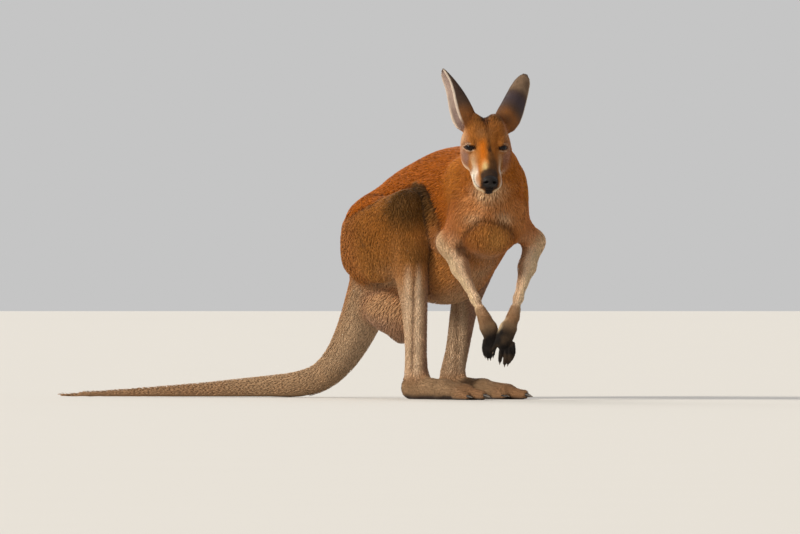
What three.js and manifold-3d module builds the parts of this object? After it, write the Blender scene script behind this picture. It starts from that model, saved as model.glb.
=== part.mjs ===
// Red kangaroo, adult male, life size, resting in a low crouch with its head turned to its right.
// Millimetres, +Z up, floor at z = 0. The animal's left is +X and the pelvis faces -Y.
// The body is one smooth field of named muscles and stations, meshed by region and parted by thin plane cuts.
import * as THREE from 'three';
import { mergeVertices } from 'three/addons/utils/BufferGeometryUtils.js';
import Module from 'manifold-3d';

// ---------------------------------------------------------------- driving sizes
const GAP = 0.3;                 // width of every parting cut
const LOOK = 37;                 // degrees: the fore part of the body is turned this far to the animal's right
const HEAD_PITCH = 38, HEAD_YAW = 6.8;   // muzzle below the level, and to the left of the turned direction
const EYE_R = 14.5, EYE_U = 38;  // eyeball radius and half the distance between the eyeballs
const EAR_LEN = 163;             // ear, notch to tip
const FOOT_LEN = 350;            // heel to tip of the fourth toe
const CENTRE = [-194.3, -29.1];  // middle of the outline on the floor, which becomes the origin

// ---------------------------------------------------------------- small vector kit
const add = (a, b) => [a[0] + b[0], a[1] + b[1], a[2] + b[2]];
const sub = (a, b) => [a[0] - b[0], a[1] - b[1], a[2] - b[2]];
const mul = (a, k) => [a[0] * k, a[1] * k, a[2] * k];
const dot = (a, b) => a[0] * b[0] + a[1] * b[1] + a[2] * b[2];
const cross = (a, b) => [a[1] * b[2] - a[2] * b[1], a[2] * b[0] - a[0] * b[2], a[0] * b[1] - a[1] * b[0]];
const len = (a) => Math.hypot(a[0], a[1], a[2]);
const unit = (a) => mul(a, 1 / len(a));
const mix = (a, b, t) => add(a, mul(sub(b, a), t));
const rad = Math.PI / 180;
const CT = Math.cos(LOOK * rad), ST = Math.sin(LOOK * rad);
const AB = (a, b, z) => [a, -b, z];                                        // left, forward, up
const TURN = (X, Y, z) => [CT * X + ST * Y, -(ST * X - CT * Y), z];        // the turned frame: across, back, up
const turnX = (p) => CT * p[0] - ST * p[1], turnY = (p) => ST * p[0] + CT * p[1];

// ---------------------------------------------------------------- field primitives
function ell(c, F, up, r) {
  F = unit(F); const S = unit(cross(up, F)), U = cross(F, S);
  const e = [0, 1, 2].map((i) => Math.hypot(F[i] * r[0], S[i] * r[1], U[i] * r[2]));
  return { lo: sub(c, e), hi: add(c, e), d(p) {
    const q = sub(p, c), x = dot(q, F) / r[0], y = dot(q, S) / r[1], z = dot(q, U) / r[2];
    const k0 = Math.hypot(x, y, z), k1 = Math.hypot(x / r[0], y / r[1], z / r[2]);
    return k0 * (k0 - 1) / Math.max(k1, 1e-9);
  } };
}
// A row of elliptical stations [x, y, z, half width, half height above, half height below, side x, y, z].
function chain(rows, n = 3, cap0 = 1, cap1 = 1) {
  let A = rows;
  if (n > 1 && rows.length > 2) {
    const m = rows.length, E = [rows[0].map((v, j) => 2 * v - rows[1][j]), ...rows, rows[m - 1].map((v, j) => 2 * v - rows[m - 2][j])];
    A = [];
    for (let i = 1; i < E.length - 2; i++) for (let k = 0; k < n; k++) {
      const t = k / n;
      A.push(E[i].map((_, j) => 0.5 * (2 * E[i][j] + (E[i + 1][j] - E[i - 1][j]) * t
        + (2 * E[i - 1][j] - 5 * E[i][j] + 4 * E[i + 1][j] - E[i + 2][j]) * t * t
        + (-E[i - 1][j] + 3 * E[i][j] - 3 * E[i + 1][j] + E[i + 2][j]) * t * t * t)));
    }
    A.push(rows[m - 1]);
  }
  const lo = [1e9, 1e9, 1e9], hi = [-1e9, -1e9, -1e9], seg = [];
  for (const r of A) { const R = Math.max(r[3], r[4], r[5]); for (let i = 0; i < 3; i++) { lo[i] = Math.min(lo[i], r[i] - R); hi[i] = Math.max(hi[i], r[i] + R); } }
  for (let i = 0; i + 1 < A.length; i++) {
    const a = A[i].slice(0, 3), L = sub(A[i + 1].slice(0, 3), a), T = unit(L);
    let S = unit(add(A[i].slice(6, 9), A[i + 1].slice(6, 9))); S = unit(sub(S, mul(T, dot(S, T))));
    seg.push({ a, L, l2: dot(L, L), T, S, U: cross(T, S), A: A[i], B: A[i + 1] });
  }
  return { lo, hi, rows: A, seg, d(p) {
    let best = 1e9; const last = seg.length - 1;
    for (let i = 0; i <= last; i++) {
      const s = seg[i]; let q = sub(p, s.a);
      const t = Math.min(1, Math.max(0, dot(q, s.L) / s.l2)); q = sub(q, mul(s.L, t));
      const w = s.A[3] + (s.B[3] - s.A[3]) * t, v = dot(q, s.U);
      const h = v > 0 ? s.A[4] + (s.B[4] - s.A[4]) * t : s.A[5] + (s.B[5] - s.A[5]) * t;
      let cap = Math.min(w, h); if (i === last && t >= 1) cap *= cap1; else if (i === 0) cap *= cap0;
      const x = dot(q, s.S) / w, y = v / h, z = dot(q, s.T) / cap;
      const k0 = Math.hypot(x, y, z), k1 = Math.hypot(x / w, y / h, z / cap);
      const d = k1 < 1e-9 ? -Math.min(w, h) : k0 * (k0 - 1) / k1;
      if (d < best) best = d;
    }
    return best;
  } };
}
const tri3 = (r) => Array.isArray(r) ? [r[0], r[1], r[r.length - 1]] : [r, r, r];
const limb = (a, b, ra, rb, side = [1, 0, 0]) => chain([[...a, ...tri3(ra), ...side], [...b, ...tri3(rb), ...side]], 1);
const smin = (a, b, k) => { const h = Math.max(k - Math.abs(a - b), 0) / k; return Math.min(a, b) - h * h * k * 0.25; };
const boxDist = (o, p) => Math.hypot(Math.max(o.lo[0] - p[0], p[0] - o.hi[0], 0), Math.max(o.lo[1] - p[1], p[1] - o.hi[1], 0), Math.max(o.lo[2] - p[2], p[2] - o.hi[2], 0));
const near = (o, p) => { const b = boxDist(o, p); return b < 60 ? o.d(p) : b; };
// Smooth union of items; [item, k] gives that item its own blend.
function group(items, k) {
  const it = items.map((i) => Array.isArray(i) ? i : [i, k]);
  const lo = [1e9, 1e9, 1e9], hi = [-1e9, -1e9, -1e9];
  for (const [o] of it) for (let i = 0; i < 3; i++) { lo[i] = Math.min(lo[i], o.lo[i]); hi[i] = Math.max(hi[i], o.hi[i]); }
  return { lo, hi, d(p) { let out = near(it[0][0], p); for (let i = 1; i < it.length; i++) out = smin(out, near(it[i][0], p), it[i][1]); return out; } };
}

// ---------------------------------------------------------------- the trunk and neck
const st = (a, b, z, w, hu, hd, yaw = 0) => [a, -b, z, w, hu, hd, Math.cos(yaw * rad), -Math.sin(yaw * rad), 0];
const E = (a, b, z, F, up, r) => ell(AB(a, b, z), AB(...F), AB(...up), r);
const trunk = chain([
  st(0, -112, 372, 58, 62, 72),
  st(0, -72, 400, 84, 86, 106),
  st(0, -10, 432, 104, 112, 150),
  st(0, 70, 450, 120, 140, 190),
  st(-3, 150, 462, 130, 156, 220),
  st(-12, 240, 472, 128, 170, 224, 4),
  st(-30, 340, 486, 112, 164, 178, 10),
  st(-60, 430, 508, 92, 143, 154, 16),
  st(-97, 515, 526, 66, 114, 130, 24),
  st(-128, 572, 545, 56, 86, 102, 26)], 3, 0.9, 0.8);
const neck = chain([
  st(-105, 520, 560, 66, 84, 100, 26),
  st(-142, 580, 578, 60, 70, 88, 28),
  st(-172, 620, 610, 54, 56, 72, 32),
  st(-205, 645, 655, 48, 44, 56, 37)], 3);
const under = E(0, -25, 225, [0, 1, -0.25], [0, 0, 1], [85, 62, 62]);
const scrotum = E(0, 14, 186, [0, 1, 0], [0, 0, 1], [36, 33, 46]);
const chest = E(-105, 520, 455, [-0.3, 0.9, 0.1], [0, 0, 1], [75, 78, 80]);
const barrel = group([trunk, neck, [under, 60], [scrotum, 26], [chest, 60]], 70);

// ---------------------------------------------------------------- hind legs
function hind(hip, knee, shankRows, ankle, s) {
  const [ha, hb, hz] = hip, [ka, kb, kz] = knee, m = (f, g) => [ha + (ka - ha) * f, hb + (kb - hb) * g];
  const thigh = chain([
    [ha * 0.78, -(hb - 66), hz - 112, 50, 62, 66, 1, 0, 0],
    [ha * 0.95, -(hb - 14), hz - 62, 60, 100, 104, 1, 0, 0],
    [m(0.45, 0.38)[0], -m(0.45, 0.38)[1], hz - 50, 60, 104, 118, 1, 0, 0],
    [m(0.8, 0.72)[0], -m(0.8, 0.72)[1], hz - 10, 55, 72, 100, 1, 0, 0],
    [ka, -(kb - 8), kz - 6, 48, 50, 56, 1, 0, 0]], 3, 0.9, 0.95);
  const shank = chain(shankRows.map(([a, b, z, w, f, r]) => [a, -b, z, w, f, r, 1, 0, 0]), 3);
  const [a0, b0] = ankle;
  const foot = group([
    limb(AB(a0, b0 - 28, 28), AB(a0, b0 + 10, 34), [24, 29, 31], [24, 34, 37]),                       // heel
    limb(AB(a0, b0 + 10, 30), AB(a0 + s * 4, b0 + 120, 25), [23, 30, 33], [25, 25, 28]),              // metatarsus
    limb(AB(a0 + s * 4, b0 + 120, 25), AB(a0 + s * 8, b0 + 215, 19), [25, 25, 28], [30, 20, 22]),
    limb(AB(a0 + s * 8, b0 + 215, 17), AB(a0 + s * 10, b0 + FOOT_LEN - 60, 13), [15, 18, 20], [11, 12, 15]),  // fourth toe
    limb(AB(a0 + s * 24, b0 + 200, 14), AB(a0 + s * 33, b0 + 255, 10), [11, 14, 17], [8, 9, 12]),             // fifth toe
    limb(AB(a0 - s * 14, b0 + 195, 13), AB(a0 - s * 18, b0 + 240, 9), [8, 12, 15], [6, 8, 10])], 16);         // joined second and third
  return { thigh, shank, foot, all: group([thigh, [shank, 34], [foot, 24]], 34) };
}
const legR = hind([-92, 8, 468], [-148, 247, 486], [
  [-148, 245, 478, 52, 56, 56], [-136, 248, 415, 54, 62, 72], [-128, 232, 350, 42, 50, 66], [-114, 213, 290, 34, 44, 56],
  [-100, 203, 228, 27, 38, 48], [-87, 190, 130, 24, 33, 38], [-76, 178, 66, 25, 34, 42]], [-76, 178], -1);
const legL = hind([90, -20, 468], [132, 215, 486], [
  [130, 212, 478, 52, 56, 56], [124, 208, 415, 54, 60, 72], [116, 190, 350, 42, 50, 66], [106, 170, 290, 34, 44, 56],
  [96, 155, 228, 28, 38, 50], [84, 142, 130, 25, 34, 40], [75, 132, 66, 26, 34, 42]], [75, 132], 1);

// ---------------------------------------------------------------- tail: down behind the feet, then along the floor to the right
// Each row's fifth number is the half height on the under side.
const tail = chain([
  [0, 74, 345, 64, 60, 72, 1, 0, 0], [0, 112, 285, 62, 62, 64, 1, 0, 0], [0, 154, 218, 56, 57, 55, 1, 0, 0],
  [-3, 198, 152, 49, 50, 49, 1, 0, 0], [-12, 242, 97, 43, 43, 43, 1, 0.1, 0], [-34, 286, 54, 38, 37, 39, 0.95, 0.3, 0],
  [-80, 326, 35.5, 34, 37, 33, 0.8, 0.6, 0], [-140, 372, 29.5, 29.5, 31, 28.5, 0.6, 0.8, 0],
  [-215, 430, 24, 24, 25.5, 23.5, 0.6, 0.8, 0], [-295, 490, 19, 19, 20.5, 18.5, 0.6, 0.8, 0],
  [-375, 550, 15, 15, 16.5, 14.5, 0.6, 0.8, 0], [-450, 607, 11.5, 11.5, 13, 11, 0.6, 0.8, 0],
  [-520, 662, 9, 9, 10.5, 8.5, 0.6, 0.8, 0], [-572, 704, 6.5, 6.5, 8, 6, 0.6, 0.8, 0]], 3);

// ---------------------------------------------------------------- fore limbs
const sideT = TURN(1, 0, 0);
function fore(sh, el, wr) {
  const f = mix(el, wr, 0.33), g = mix(el, wr, 0.74);
  return { sh, el, wr,
    upper: limb(sh, el, [40, 48], [25, 29], sideT),
    lower: [limb(el, f, [27, 29, 30], [21, 21, 24], sideT), limb(f, g, [21, 21, 24], [12.5, 13], sideT), limb(g, wr, [12.5, 13], [14, 11], sideT),
      limb(add(el, [0, 0, 6]), mix(el, wr, 0.08), [17, 20], [15, 18], sideT)] };
}
const armR = fore(TURN(190, -475, 486), TURN(126, -402, 398), TURN(217, -482, 208));
const armL = fore(TURN(262, -468, 486), TURN(344, -392, 402), TURN(289, -505, 210));
const bladeR = E(-134, 448, 545, [-0.3, 0.9, -0.35], [0, 0, 1], [80, 30, 58]);
const bladeL = E(-18, 498, 545, [-0.3, 0.9, -0.35], [0, 0, 1], [80, 30, 58]);
for (const [arm, blade] of [[armR, bladeR], [armL, bladeL]]) {
  arm.low = group([arm.upper, ...arm.lower.map((l) => [l, 16])], 20);
  arm.top = group([blade, [arm.upper, 50]], 20);
}

// ---------------------------------------------------------------- head, in its own frame: u left, v along the muzzle, w up
const cp = Math.cos(HEAD_PITCH * rad), sp = Math.sin(HEAD_PITCH * rad), cy = Math.cos(HEAD_YAW * rad), sy = Math.sin(HEAD_YAW * rad);
const HF = TURN(sy * cp, -cy * cp, -sp), HL = TURN(cy, sy, 0), HU = cross(HF, HL), HO = TURN(219.6, -690, 641);
const H = (u, v, w) => add(HO, add(mul(HL, u), add(mul(HF, v), mul(HU, w))));
const hdir = (u, v, w) => add(mul(HL, u), add(mul(HF, v), mul(HU, w)));
const HE = (u, v, w, r, F = [0, 1, 0], up = [0, 0, 1]) => ell(H(u, v, w), hdir(...F), hdir(...up), r);
const hs = (v, w, wd, hu, hd) => [...H(0, v, w), wd, hu, hd, ...HL];
const skull = chain([
  hs(-88, -16, 37, 31, 42), hs(-60, -22, 49, 51, 50), hs(-35, -28, 54, 62, 58), hs(-10, -30, 47, 58, 57),
  hs(15, -31, 39, 49, 50), hs(50, -33, 32, 41, 37), hs(85, -34, 28, 33, 27), hs(108, -34, 24, 25, 19)], 3, 0.9, 0.75);
const jaw = chain([hs(-42, -52, 38, 28, 33), hs(0, -58, 38, 24, 29), hs(45, -58, 37, 20, 23), hs(76, -56, 34, 18, 17), hs(96, -56, 23, 13, 14), hs(104, -56, 14, 11, 12)], 2);
const headItems = [skull, [jaw, 16]];
for (const s of [1, -1]) headItems.push(
  [HE(s * 48, -34, -14, [34, 10, 14], [s * 0.15, 1, 0.1]), 14],      // cheekbone
  [HE(s * 40, -30, -50, [34, 16, 30]), 18],                          // jaw muscle
  [HE(s * 37, -5, 14, [20, 9, 7], [-s * 0.1, 1, -0.1]), 9],          // brow
  [HE(s * 20, 80, -50, [22, 15, 18]), 9],                            // lip
  [HE(s * 21, -66, 32, [18, 17, 23], [0, 1, 0], [s * 0.25, -0.2, 1]), 12],   // root of the ear
  [HE(s * 18, 94, -33, [25, 15.5, 16], [0, 1, -0.12]), 9],           // whisker pad
  [HE(s * 30, -50, 20, [26, 20, 22]), 18]);                          // brain case below the ear
headItems.push([HE(0, 117, -19, [13, 19, 12]), 7], [HE(0, 99, -55, [12, 13, 9]), 6]);   // nose pad, chin
const head = group(headItems, 20);

// ---------------------------------------------------------------- the whole coat surface
const blendLeg = (p) => 12 + Math.min(1, Math.max(0, (110 + p[1]) / 150)) * 58;
function torso(p) {      // all but the head and the forearms
  let d = barrel.d(p); const k = blendLeg(p);
  d = smin(d, near(legR.all, p), k); d = smin(d, near(legL.all, p), k);
  d = smin(d, near(tail, p), 40);
  return smin(smin(d, near(armR.top, p), 34), near(armL.top, p), 34);
}
const nape = (p) => smin(near(neck, p), near(head, p), 30);
const throat = (p) => smin(torso(p), near(head, p), 30);

// ---------------------------------------------------------------- meshing
const wasm = await Module(); wasm.setup();
const slope = (f, p, e = 0.6) => [f([p[0] + e, p[1], p[2]]) - f([p[0] - e, p[1], p[2]]), f([p[0], p[1] + e, p[2]]) - f([p[0], p[1] - e, p[2]]), f([p[0], p[1], p[2] + e]) - f([p[0], p[1], p[2] - e])].map((v) => v / (2 * e));
function settle(f, p, reach) {
  for (let i = 0; i < 3; i++) {
    const d = f(p), g = slope(f, p), n2 = Math.max(dot(g, g), 0.1); let s = mul(g, -d / n2); const l = len(s);
    if (l > reach) s = mul(s, reach / l); p = add(p, s);
  }
  return p;
}
// One vertex in each cell that the surface crosses, one quad round each crossed grid edge.
function nets(field, lo, hi, cell) {
  const c = Array.isArray(cell) ? cell : [cell, cell, cell];
  const n = [0, 1, 2].map((i) => Math.ceil((hi[i] - lo[i]) / c[i]) + 1);
  const box = (p) => Math.max(lo[0] + c[0] - p[0], p[0] - hi[0] + c[0], lo[1] + c[1] - p[1], p[1] - hi[1] + c[1], lo[2] + c[2] - p[2], p[2] - hi[2] + c[2]);
  const f = (p) => Math.max(field(p), box(p));
  const id = (i, j, k) => (i * (n[1] + 1) + j) * (n[2] + 1) + k, at = (i, j, k) => [lo[0] + i * c[0], lo[1] + j * c[1], lo[2] + k * c[2]];
  const D = new Float64Array((n[0] + 1) * (n[1] + 1) * (n[2] + 1));
  for (let i = 0; i <= n[0]; i++) for (let j = 0; j <= n[1]; j++) for (let k = 0; k <= n[2]; k++) D[id(i, j, k)] = f(at(i, j, k)) || 1e-6;
  const verts = [], vid = new Map(), tris = [];
  const ed = []; for (const a of [0, 1]) for (const b of [0, 1]) ed.push([[0, a, b], [1, a, b]], [[a, 0, b], [a, 1, b]], [[a, b, 0], [a, b, 1]]);
  for (let i = 0; i < n[0]; i++) for (let j = 0; j < n[1]; j++) for (let k = 0; k < n[2]; k++) {
    let s = [0, 0, 0], m = 0;
    for (const [a, b] of ed) {
      const da = D[id(i + a[0], j + a[1], k + a[2])], db = D[id(i + b[0], j + b[1], k + b[2])];
      if ((da < 0) === (db < 0)) continue;
      s = add(s, mix(at(i + a[0], j + a[1], k + a[2]), at(i + b[0], j + b[1], k + b[2]), da / (da - db))); m++;
    }
    if (m) {
      const p0 = mul(s, 1 / m), q = settle(f, p0, Math.min(...c) * 0.35), a = at(i, j, k);
      vid.set(id(i, j, k), verts.length); verts.push([0, 1, 2].map((x) => Math.min(a[x] + c[x] * 0.98, Math.max(a[x] + c[x] * 0.02, q[x]))));
    }
  }
  const V = (i, j, k) => vid.get(id(i, j, k));
  for (let i = 1; i < n[0]; i++) for (let j = 1; j < n[1]; j++) for (let k = 1; k < n[2]; k++) {
    const d0 = D[id(i, j, k)] < 0;
    const quad = (q, flip) => {
      if (flip) q.reverse(); const P = q.map((v) => verts[v]);
      if (len(sub(P[0], P[2])) < len(sub(P[1], P[3]))) tris.push([q[0], q[1], q[2]], [q[0], q[2], q[3]]); else tris.push([q[1], q[2], q[3]], [q[1], q[3], q[0]]);
    };
    if (i < n[0] && d0 !== (D[id(i + 1, j, k)] < 0)) quad([V(i, j - 1, k - 1), V(i, j, k - 1), V(i, j, k), V(i, j - 1, k)], !d0);
    if (d0 !== (D[id(i, j + 1, k)] < 0)) quad([V(i - 1, j, k - 1), V(i - 1, j, k), V(i, j, k), V(i, j, k - 1)], !d0);
    if (d0 !== (D[id(i, j, k + 1)] < 0)) quad([V(i - 1, j - 1, k), V(i, j - 1, k), V(i, j, k), V(i - 1, j, k)], !d0);
  }
  return solid(verts, tris);
}
function solid(verts, tris) {
  const man = new wasm.Manifold(new wasm.Mesh({ numProp: 3, vertProperties: new Float32Array(verts.flat()), triVerts: new Uint32Array(tris.flat()) }));
  if (man.volume() < 0) throw new Error('solid faces inwards');
  return man;
}
// A closed loft through rings of equal count, wound to the left about the direction of travel.
function loft(rings) {
  const n = rings[0].length, verts = rings.flat(), tris = [];
  for (let r = 0; r + 1 < rings.length; r++) for (let i = 0; i < n; i++) {
    const a = r * n + i, b = r * n + (i + 1) % n, c = a + n, d = b + n; tris.push([a, b, d], [a, d, c]);
  }
  const mid = (ring) => mul(ring.reduce(add, [0, 0, 0]), 1 / ring.length);
  const s = verts.length, e = s + 1; verts.push(mid(rings[0]), mid(rings[rings.length - 1]));
  for (let i = 0; i < n; i++) { tris.push([s, (i + 1) % n, i], [e, e - 1 - n + i - 0, e - 1 - n + (i + 1) % n]); }
  return solid(verts, tris);
}
// Rings cast outwards from the middle of each station until they meet the surface of the field.
function cast(field, centres, sides, N, rmax) {
  return loft(centres.map((c, k) => {
    const T = unit(sub(centres[Math.min(k + 1, centres.length - 1)], centres[Math.max(k - 1, 0)]));
    let S = Array.isArray(sides[0]) ? sides[k] : sides; S = unit(sub(S, mul(T, dot(S, T)))); const U = cross(T, S), R = Array.isArray(rmax) ? rmax[k] : rmax;
    return Array.from({ length: N }, (_, i) => {
      const a = (2 * Math.PI * i) / N, dir = add(mul(S, Math.cos(a)), mul(U, Math.sin(a))); let lo = 0, hi = 2;
      while (hi < R && field(add(c, mul(dir, hi))) < 0) { lo = hi; hi += 2; }
      hi = Math.min(hi, R);
      for (let j = 0; j < 12; j++) { const m = (lo + hi) / 2; if (field(add(c, mul(dir, m))) < 0) lo = m; else hi = m; }
      return add(c, mul(dir, (lo + hi) / 2));
    });
  }));
}
const fromGeometry = (g) => {
  g = g.index ? g.clone() : g; g.deleteAttribute('normal'); g.deleteAttribute('uv'); g = mergeVertices(g, 1e-4);
  return new wasm.Manifold(new wasm.Mesh({ numProp: 3, vertProperties: new Float32Array(g.attributes.position.array), triVerts: new Uint32Array(g.index.array) }));
};
// Everything on the side of a plane that its normal points to, moved off the plane by half a gap.
const BIG = 4000;
function side(point, normal, shift = GAP / 2) {
  normal = unit(normal); const g = new THREE.BoxGeometry(BIG, BIG, BIG);
  g.translate(0, 0, BIG / 2 + shift);
  g.applyQuaternion(new THREE.Quaternion().setFromUnitVectors(new THREE.Vector3(0, 0, 1), new THREE.Vector3(...normal)));
  g.translate(...point); return fromGeometry(g);
}
const keep = (man, ...planes) => planes.reduce((m, [p, n, s]) => m.intersect(side(p, n, s)), man);
const region = (grow, ...planes) => planes.slice(1).reduce((m, [p, n]) => m.intersect(side(p, n, -grow)), side(...planes[0], -grow));
// The largest connected body of a cut.
function largest(man) {
  const m = man.getMesh(), nt = m.triVerts.length / 3, par = Array.from({ length: m.vertProperties.length / m.numProp }, (_, i) => i);
  const find = (i) => { while (par[i] !== i) { par[i] = par[par[i]]; i = par[i]; } return i; };
  if (m.mergeFromVert) for (let i = 0; i < m.mergeFromVert.length; i++) par[find(m.mergeFromVert[i])] = find(m.mergeToVert[i]);
  for (let t = 0; t < nt; t++) { const a = find(m.triVerts[3 * t]); par[find(m.triVerts[3 * t + 1])] = a; par[find(m.triVerts[3 * t + 2])] = a; }
  const vol = new Map();
  for (let t = 0; t < nt; t++) {
    const v = [0, 1, 2].map((k) => { const i = m.triVerts[3 * t + k] * m.numProp; return [m.vertProperties[i], m.vertProperties[i + 1], m.vertProperties[i + 2]]; });
    const r = find(m.triVerts[3 * t]); vol.set(r, (vol.get(r) || 0) + dot(v[0], cross(v[1], v[2])) / 6);
  }
  const best = [...vol].sort((a, b) => b[1] - a[1])[0][0], verts = [], map = new Map(), tris = [];
  for (let t = 0; t < nt; t++) {
    if (find(m.triVerts[3 * t]) !== best) continue;
    tris.push([0, 1, 2].map((k) => {
      const i = m.triVerts[3 * t + k], key = [0, 1, 2].map((j) => m.vertProperties[i * m.numProp + j]).join();
      if (!map.has(key)) { map.set(key, verts.length); verts.push([0, 1, 2].map((j) => m.vertProperties[i * m.numProp + j])); }
      return map.get(key);
    }));
  }
  return tidy(verts, tris);
}
// Closes up edges too short to matter, one at a time, where the surface stays a closed one.
function tidy(verts, tris, short = 0.35) {
  for (let pass = 0; pass < 8; pass++) {
    const fan = verts.map(() => new Set());
    tris.forEach((t, i) => t.forEach((v) => fan[v].add(i)));
    const ring = (v) => new Set([...fan[v]].flatMap((i) => tris[i]).filter((u) => u !== v)), dead = new Set(), locked = new Set(); let done = 0;
    tris.forEach((t, i) => {
      if (dead.has(i)) return;
      for (let k = 0; k < 3; k++) {
        const a = t[k], b = t[(k + 1) % 3];
        if (a === b || locked.has(a) || locked.has(b) || len(sub(verts[a], verts[b])) > short) continue;
        const ra = ring(a), rb = ring(b), both = [...ra].filter((v) => rb.has(v));
        if (both.length !== 2) continue;
        for (const v of [...ra, ...rb]) locked.add(v);
        for (const j of fan[b]) { if (tris[j].includes(a)) dead.add(j); else tris[j] = tris[j].map((v) => (v === b ? a : v)); }
        done++; break;
      }
    });
    tris = tris.filter((_, i) => !dead.has(i));
    if (!done) break;
  }
  const used = new Map(), out = []; tris = tris.map((t) => t.map((v) => { if (!used.has(v)) { used.set(v, out.length); out.push(verts[v]); } return used.get(v); }));
  return { verts: out, tris };
}

// ---------------------------------------------------------------- parting planes
const P = {
  floor: [[0, 0, 0], [0, 0, 1], 0],
  neck: [AB(-150, 590, 588), AB(-0.53, 0.55, 0.65)],
  head: [H(0, -65, -35), hdir(0, 0.82, 0.57)],
  tail: [AB(0, -115, 235), AB(0, -0.807, -0.59)],
};
const neg = ([p, n]) => [p, mul(n, -1)];
const onTail = (i) => { const s = tail.seg[i]; return [s.a, s.T]; };
const tailMid = onTail(16), tailTip = onTail(25);
const thighR = [[AB(-84, 0, 410), AB(-1, 0, -0.19)], [AB(0, 318, 0), AB(0, -1, 0)], [AB(0, 247, 566), AB(0, 0.12, -1)]];
const thighL = [[AB(84, 0, 410), AB(1, 0, -0.19)], [AB(0, 290, 0), AB(0, -1, 0)], [AB(0, 215, 566), AB(0, 0.12, -1)]];
const kneeR = [AB(0, 235, 331), AB(0, 0.63, -0.776)], kneeL = [AB(0, 195, 331), AB(0, 0.63, -0.776)];
const ankleR = [AB(-76, 178, 84), AB(0, 0.14, -1)], ankleL = [AB(75, 132, 84), AB(0, 0.14, -1)];
const armRegR = [[TURN(168, -450, 450), TURN(-0.489, 0.557, -0.672)], [TURN(177, 0, 0), TURN(-1, 0, 0)], [TURN(0, -350, 0), TURN(0, -1, 0)]];
const armRegL = [[TURN(296, -435, 448), TURN(0.586, 0.543, -0.6)], [TURN(304, 0, 0), TURN(1, 0, 0)], [TURN(0, -350, 0), TURN(0, -1, 0)]];
const elbow = (arm) => [mix(arm.el, arm.wr, 0.02), add(unit(sub(arm.el, arm.sh)), unit(sub(arm.wr, arm.el)))];
const wrist = (arm) => [mix(arm.el, arm.wr, 0.97), unit(sub(arm.wr, arm.el))];

const solids = {};
// trunk, thighs, neck and upper arms from one coarse mesh
const coarse = nets(torso, [-260, -700, 120], [240, 250, 745], [34, 40, 39]);
let body = keep(coarse, neg(P.neck), neg(P.tail));
solids.thigh_r = keep(body, ...thighR, neg(kneeR));
solids.thigh_l = keep(body, ...thighL, neg(kneeL));
solids.upper_arm_r = keep(nets(torso, [-230, -580, 330], [30, -380, 520], [20, 20, 20]), ...armRegR, neg(elbow(armR)));
solids.upper_arm_l = keep(nets(torso, [-62, -640, 331], [160, -400, 520], [21, 20, 19]), ...armRegL, neg(elbow(armL)));
solids.trunk = body.subtract(region(GAP / 2, ...thighR)).subtract(region(GAP / 2, ...thighL)).subtract(region(GAP / 2, ...armRegR)).subtract(region(GAP / 2, ...armRegL));
solids.neck = keep(nets(throat, [-310, -760, 500], [-40, -520, 760], 26), P.neck, neg(P.head));

// tail lengths
const tailRows = tail.rows.filter((_, i) => i > 2 && (i < 20 || i % 2 === 1));
const tailLoft = cast((p) => torso(p), tailRows.map((r) => r.slice(0, 3)), tailRows.map((r) => r.slice(6, 9)), 12, 90);
solids.tail_root = keep(tailLoft, P.tail, neg(tailMid), P.floor);
solids.tail_mid = keep(tailLoft, tailMid, neg(tailTip), P.floor);
solids.tail_tip = keep(tailLoft, tailTip, P.floor);

// shanks and feet
for (const [s, leg, knee, ankle] of [['r', legR, kneeR, ankleR], ['l', legL, kneeL, ankleL]]) {
  const c = leg.shank.rows.filter((_, i) => i > 2 && i % 2 === 0).map((r) => r.slice(0, 3)), e = c[c.length - 1];
  c.push(add(e, [0, 0, -30]));
  solids['shank_' + s] = keep(cast(leg.all.d, c, [1, 0, 0], 12, c.map((_, i) => (i < 2 ? 78 : 64))), knee, neg(ankle));
  const lo = leg.foot.lo, hi = leg.foot.hi;
  solids['foot_' + s] = keep(nets((p) => near(leg.all, p), [lo[0] - 18, lo[1] - 26, -20], [hi[0] + 16, hi[1] + 26, 118], [14.5, 24, 13]), ankle, P.floor);
}

// forearms
for (const [s, arm] of [['r', armR], ['l', armL]]) {
  const c = [-0.08, 0.06, 0.18, 0.32, 0.48, 0.62, 0.76, 0.9, 1.04].map((t) => mix(arm.el, arm.wr, t));
  solids['forearm_' + s] = keep(cast(arm.low.d, c, sideT, 12, 46), elbow(arm), neg(wrist(arm)));
}

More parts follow.
